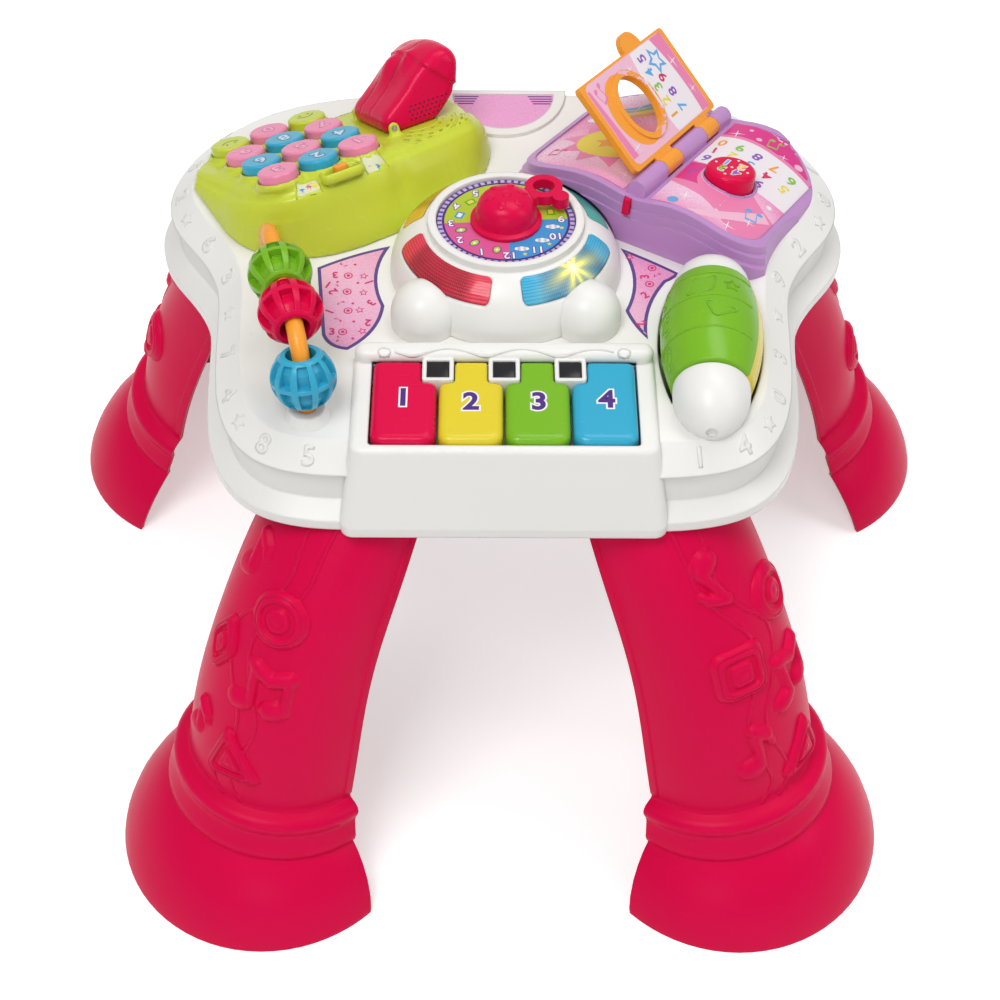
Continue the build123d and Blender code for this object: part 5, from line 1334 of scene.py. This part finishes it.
# The speaker holes are dark discs on the surface: painted shade for the holes.
painted_hole_shade = plastic("handset_hole_painted_shade", (0.10, 0.001, 0.01), 0.6)
painted_hole_discs = bmesh.new()
near_side = handset_plane @ Matrix.Translation((0, -25, 0)) @ Matrix.Rotation(pi / 2, 4, "X")
for row in range(4):
    for column in range(9):
        put(painted_hole_discs, disc(0.62, 0.1, 0, 10, 1.0, -0.2), 65.0 + 2.9 * column + 1.4 * (row % 2),
            4.5 + 2.6 * row)
lay(painted_hole_discs, near_side, "handset", 0, 14.0)
piece("handset_speaker_holes_painted_shade", painted_hole_discs, painted_hole_shade, "handset", None, 50.0)
handset_seams = bmesh.new()
for seam in seam_places:
    put(handset_seams, line([(52.0 + 2.0 * k, seam) for k in range(21)], 0.7, 0.12, False, False))
lay(handset_seams, handset_plane, "handset", 0, 60.0)
piece("handset_seams", handset_seams, seam_ink, "handset", None, 50.0)

key_inks = inks_of("digit", edge_pink=(0.62, 0.12, 0.30), pink=(0.86, 0.42, 0.56), edge_blue=(0.05, 0.16, 0.34),
                   blue=(0.55, 0.74, 0.86), mark_green=(0.28, 0.36, 0.02))
phone_order = ["1", "2", "3", "4", "5", "6", "7", "8", "9", "call", "0", "end"]
for index, words in enumerate(phone_order):
    column, row = 1 - index % 3, index // 3
    node = "phone_key_" + words
    print_on_key = bmesh.new()
    slot = slot_of[node]
    if words.isdigit():
        edged_digits(print_on_key, words, 12.5, (0.07, 1.0, -0.02), (0.12, 0.25, 0.03), turn_deg=180,
                     inks=(2, 3) if slot == "blue" else (0, 1))
    else:
        bow = 3.6 if words == "call" else -3.6
        path = [(-5, bow * 0.4), (-3, -bow * 0.3), (0, -bow * 0.55), (3, -bow * 0.3), (5, bow * 0.4)]
        put(print_on_key, line(path, 1.2, 0.2), ink=4)
        for x in (-2.6, 2.6):
            put(print_on_key, disc(0.9, 0.15, 0, 16, 1.0, -0.02), x, bow * 0.9, ink=4)
    plane = raised(keypad_plane, 0.0, column * keypad_pitch, (row - 1.5) * keypad_pitch)
    lay(print_on_key, plane, node, 4.0, 8.0)
    piece(node + "_print", print_on_key, key_inks, node, None, 40.0)

phone_trim = bmesh.new()
lime_slot_painted_shade = plastic("lime_slot_painted_shade_plastic", (0.36, 0.42, 0.02), 0.35)
speaker = (70, -20)
# Slots as darker lime strips: painted shade in the grooves. The bends below are raised lime ridges.
for radius, count in ((15.5, 5), (21.0, 7), (26.5, 9)):
    for k in range(count):
        path = [around(radius, -132 + 124.0 * k / count + degrees(0.03 * t), *speaker) for t in range(5)]
        put(phone_trim, line(path, 1.3, 0.16), ink=0)
for bend in (12.8, 18.3, 23.8, 29.0):
    path = [around(bend, angle, *speaker) for angle in range(-136, -6, 7)]
    put(phone_trim, line(path, 1.5, 0.5), ink=1)
phone_top = raised(keypad_plane, -phone_deck_drop)
lay(phone_trim, phone_top, "phone_base", 0, 20.0, 3.0)
piece("phone_speaker_slot_shade_and_ridges", phone_trim, [lime_slot_painted_shade, lime_plastic], "casing", None, 60.0)

strip = bmesh.new()
strip_inks = [ink("strip_pale", (0.66, 0.68, 0.46)), face_inks[4], face_inks[2], face_inks[6], lime_plastic]
for outline, marks in ((bowed([(-25, -57.5), (-9.0, -58.0), (-9.0, -50.5), (-20, -50.5)], [-0.5, 0, 0, 0.6], 6),
                        ((-19, 1), (-15.0, 2), (-11.2, 3))),
                       (bowed([(20, -57.5), (34, -56.0), (31, -49.5), (20, -49.5)], [-0.5, 0.4, 0, 0], 6),
                        ((23, 2), (27.5, 1), (31, 3)))):
    put(strip, slab(outline, 0.12, base=0.0), ink=0)
    for x, colour in marks:
        put(strip, star(5, 1.8, 0.85, 0.18, base=0.05), x, -53.8, 20 * x, ink=colour)
    put(strip, line(outline, 0.9, 0.4, True), ink=4)
lay(strip, phone_top, "phone_base", 2.5, 14.0, 7.0)
piece("phone_strip", strip, strip_inks, "casing", None, 50.0)
bezel = line(rounded([(-6.3, -59.3), (17.3, -59.3), (17.3, -49.7), (-6.3, -49.7)], 4.5), 3.0, 3.0, True)
piece("phone_slider_bezel", bezel, lime_plastic, "casing", raised(phone_top, -1.0), 50.0)

# ---- Book: pages, leaf, button ----
book_inks = inks_of("book", white=(0.84, 0.78, 0.82), magenta=(0.70, 0.03, 0.24), pink=(0.80, 0.22, 0.42),
                    rose=(0.84, 0.48, 0.62), orange=(0.84, 0.34, 0.03), yellow=(0.80, 0.66, 0.04),
                    green=(0.24, 0.52, 0.05), blue=(0.12, 0.38, 0.72), violet=(0.26, 0.09, 0.48),
                    crimson=(0.64, 0.02, 0.12))
digit_colours = [4, 5, 6, 7, 8, 9]
book_digit = (10.5, (0.17, 0.75, 0.1), (0.22, 0.24, 0.13))


def sparkles(target, turn_deg, *spots):
    """Thin white four-pointed stars, each with its place and size."""
    for x, y, size in spots:
        put(target, star(4, size, size * 0.12, 0.2, base=0.1), x, y, turn_deg, ink=0)


page_plane = level_plane(*book_spot, 352.0, radians(book_yaw))
right_page = rounded([(8.6, 1.7), (69.3, 1.7), (69.3, 113.8), (8.6, 113.8)], [0, 22, 22, 0])
left_page = rounded([(-8.6, 113.8), (-72.3, 113.8), (-72.3, 1.7), (-8.6, 1.7)], [0, 22, 22, 0])
right_print = bmesh.new()
zones = [(10, 0.06, right_page),
         (1, 0.09, bowed([(8, 93), (70, 88), (70, 115), (8, 115)], [-3.0, 0, 0, 0])),
         (2, 0.11, bowed([(8, 93), (70, 88), (70, 91), (8, 96.5)], [-3.0, 0, 3.0, 0])),
         (0, 0.13, bowed([(8, 57), (70, 52), (70, 88), (8, 93)], [2.5, 0, 3.0, 0])),
         (2, 0.09, bowed([(8, 28), (30, 20), (58, 1), (70, 6), (70, 36), (46, 52), (8, 54)],
                         [1, -2, 0, 0, -2, 2, 0])),
         (1, 0.11, bowed([(8, 32), (24, 30), (20, 54), (8, 55)], [0, -3, 0, 0])),
         (3, 0.12, bowed([(30, 2), (38, 2), (68, 34), (62, 38)], [0, 2, 0, -2]))]
for colour, height, zone in zones:
    put(right_print, slab(clipped(zone, right_page), height, base=0.0), ink=colour)
for row, words in enumerate(("09876", "12345", "6789")):
    for column, character in enumerate(words):
        x, y = 14.0 + 11.6 * column, 85.0 - 11.2 * row - 0.9 * column
        edged_digits(right_print, character, *book_digit, x, y, 180 + 9 * sin(2.3 * column + 1.7 * row),
                     (0, digit_colours[(2 * column + 5 * row) % 6]))
sparkles(right_print, 12, (16, 100, 5.5), (48, 97, 3.2), (60, 22, 4.0), (24, 14, 6.0), (53, 8, 5.0))
for x, y, radius, colour in ((58, 97, 2.6, 3), (30, 101, 1.8, 3), (22, 108, 1.4, 3), (20, 6, 3.2, 7),
                             (62, 46, 1.6, 0)):
    put(right_print, disc(radius, 0.2, 0, 20, 1.0, 0.1), x, y, ink=colour)
for x, y, size, colour, turn in ((40, 104, 8.5, 6, 190), (60, 30, 9.0, 7, 200), (15, 42, 6.0, 8, 170)):
    put(right_print, note(size, 0.2, size > 7), x, y, turn, ink=colour)
grid_cut(right_print, 3.0)
button_on_page = (button_place[0], button_place[1] * cos(radians(book_slope)) + 1.2)
round_hole(right_print, *button_on_page, 16.3)
lay(right_print, page_plane, ["page_right", "book_base"], 0, 50.0, 54.0)
page_finishes = book_inks + [page_print]
piece("page_right_print", right_print, page_finishes, "casing", None, 60.0)

button_ring = ring(15.7, 14.7, 1.3)
bmesh.ops.translate(button_ring, verts=button_ring.verts, vec=(*button_on_page, 0))
lay(button_ring, page_plane, ["page_right", "book_base"], 0, 50.0, 54.0)
piece("button_ring", button_ring, purple_plastic, "casing", None, 60.0)

left_print = bmesh.new()
put(left_print, slab(left_page, 0.06, base=0.0), ink=10)
for k, colour in enumerate((4, 5, 6, 7)):
    arc = [around(34 - 4 * k, angle, -60, 108) for angle in range(-88, -10, 6)]
    put(left_print, line(arc, 4.0, 0.1), ink=colour)
put(left_print, star(9, 30, 19, 0.12, base=0.0), -38, 40, 8, ink=2)
put(left_print, disc(18.5, 0.16, 0, 40, 1.0, 0.05), -38, 40, ink=5)
put(left_print, star(5, 8.5, 4.2, 0.21, base=0.1), -38, 40, 160, ink=4)
for x, y, radius in ((-62, 70, 5), (-56, 73, 6.5), (-49, 70, 5), (-24, 84, 4), (-18, 86, 5.5), (-13, 83, 4)):
    put(left_print, disc(radius, 0.15, 0, 24, 0.8, 0.0), x, y, ink=0)
sparkles(left_print, 12, (-20, 66, 5), (-60, 92, 4), (-14, 14, 5))
for x, y, size, colour in ((-20, 104, 9, 8), (-60, 20, 8, 9)):
    put(left_print, note(size, 0.2, True), x, y, 180, ink=colour)
lay(left_print, page_plane, ["page_left", "book_base"], 3.0, 50.0, 54.0)
piece("page_left_print", left_print, page_finishes, "casing", None, 60.0)

leaf_print = bmesh.new()
leaf_hole = [(40 + x, 36 + y) for x, y in oval(20.5, 22.5, 64)]
leaf_outline = rounded([(12, 9.5), (108, 9.5), (108, 62.5), (12, 62.5)], 6.0)
put(leaf_print, sheet(leaf_outline, [leaf_hole], 0.07), ink=3)
put(leaf_print, slab(bowed([(66, 10), (98, 10), (94, 62), (69, 62)], [0, 3, 0, 3]), 0.12, base=0.02), ink=0)
put(leaf_print, slab(bowed([(98, 10), (107.5, 10), (107.5, 62), (94, 62)], [0, 0, 0, -3]), 0.12, 0.5,
                     base=0.02), ink=2)
put(leaf_print, slab([(12.5, 14), (19, 14), (15, 59), (12.5, 59)], 0.12, 0.5, base=0.02), ink=2)
for words, x, y, lean, pitch, shift in (("12345", 72, 19, 1.2, 9.2, 0), ("789", 84, 20, 0.0, 10, 3)):
    for k, character in enumerate(words):
        edged_digits(leaf_print, character, *book_digit, x + lean * k, y + pitch * k, 90,
                     (0, digit_colours[(k + shift) % 6]))
put(leaf_print, star(5, 9.0, 4.6, 0.2, base=0.1), 88, 50, 15, ink=7)
put(leaf_print, star(5, 5.5, 2.8, 0.25, base=0.1), 88, 50, 15, ink=0)
sparkles(leaf_print, 10, (22, 18, 5), (60, 55, 4.5), (103, 24, 4), (102, 44, 5))
put(leaf_print, note(9, 0.2, True), 24, 54, 200, ink=2)
lay(leaf_print, leaf_plane, "book_leaf", 3.0, 14.0, 6.0)
piece("leaf_print", leaf_print, book_inks, "book_leaf", None, 60.0)

button_print = bmesh.new()
for x, y, words, colour in ((-4.6, 3.6, "1", 7), (4.6, 3.8, "2", 5), (-4.2, -4.2, "3", 6), (4.6, -4.0, "4", 8)):
    edged_digits(button_print, words, 8.5, (0.1, 0.8, 0.0), (0.15, 0.25, 0.05), x, y, 180, (0, colour))
for x, y in ((0, 9.4), (9.8, 0), (-9.8, 0), (0, -9.4), (0, 0)):
    put(button_print, disc(0.8, 0.1, 0, 16, 1.0, 0.0), x, y, ink=0)
lay(button_print, raised(book_plane, 10.0, *button_place), "book_button", 2.5, 20.0)
piece("book_button_print", button_print, book_inks, "book_button", None, 60.0)

# ---- Studio ----


def rays_of(tree, *kinds):
    """Values that are 1 for these kinds of ray."""
    rays = tree.nodes.new("ShaderNodeLightPath")
    return [Value(tree, rays.outputs["Is %s Ray" % kind]) for kind in kinds]


def make_world(level):
    """Even white surroundings at a plain level, white where they are seen."""
    world = bpy.data.worlds.new("studio")
    bpy.context.scene.world = world
    world.use_nodes = True
    tree = world.node_tree
    to_camera, through, mirrored = rays_of(tree, "Camera", "Transmission", "Glossy")
    seen = (to_camera + through).clamp().to("MAXIMUM", mirrored * 0.6)
    fill(tree, tree.nodes["Background"], Strength=seen.to("MAXIMUM", level), Color=(1, 1, 1))


def make_floor():
    """Plain pale floor that takes the shadow."""
    shape = bmesh.new()
    bmesh.ops.create_grid(shape, x_segments=1, y_segments=1, size=30.0)
    floor = new_object("floor", mesh_of(shape, "floor"))
    finish, tree, shader = new_finish("floor_white")
    fill(tree, shader, Base_Color=(0.9, 0.9, 0.9), Roughness=0.9, Specular_IOR_Level=0.1)
    to_camera, mirrored, through = rays_of(tree, "Camera", "Glossy", "Transmission")
    seen = ((to_camera + mirrored).clamp() + through).clamp()
    glow = node_at(tree, "ShaderNodeEmission", Strength=seen * 0.45)
    total = tree.nodes.new("ShaderNodeAddShader")
    for socket, value in ((total.inputs[0], shader.outputs[0]), (total.inputs[1], glow.outputs[0]),
                          (tree.nodes["Material Output"].inputs["Surface"], total.outputs[0])):
        feed(tree, socket, value)
    floor.data.materials.append(finish)


def area_lamp(name, place, target, size, power, size_y=None):
    """Rectangular lamp aimed at a point."""
    lamp = bpy.data.lights.new(name, "AREA")
    lamp.shape, lamp.size, lamp.size_y = "RECTANGLE", size, size_y or size
    lamp.energy = power
    holder = new_object(name, lamp)
    holder.location = place
    holder.rotation_euler = (Vector(target) - Vector(place)).to_track_quat("-Z", "Y").to_euler()


def make_camera():
    """Camera in front of the table, looking down on it."""
    azimuth, down, roll = 0.0099, 0.856, 0.0113
    forward = Vector((sin(azimuth) * cos(down), cos(azimuth) * cos(down), -sin(down)))
    right = Vector((cos(azimuth), -sin(azimuth), 0))
    up = right.cross(forward)
    side, top = right * cos(roll) + up * sin(roll), up * cos(roll) - right * sin(roll)
    camera = bpy.data.cameras.new("camera")
    camera.lens, camera.sensor_width, camera.clip_end = 71.64, 36.0, 100.0
    holder = new_object("camera", camera)
    holder.matrix_world = (Matrix.Translation((-0.00881, -0.81284, 1.05961))
                           @ Matrix((side, top, -forward)).transposed().to_4x4())
    bpy.context.scene.camera = holder


make_world(0.39)
make_floor()
area_lamp("key", (-0.45, -0.75, 2.0), (0, 0, 0.25), 0.8, 17.5)
area_lamp("top", (0.45, 0.5, 2.2), (0, 0, 0.3), 1.5, 11.5, 0.8)
area_lamp("fill", (1.6, -0.5, 1.3), (0, 0, 0.2), 0.5, 4.6, 1.2)
area_lamp("low_front", (-0.3, -2.0, 0.7), (0, -0.1, 0.15), 0.9, 2.6, 0.35)
make_camera()
bpy.context.scene.view_settings.view_transform = "Standard"
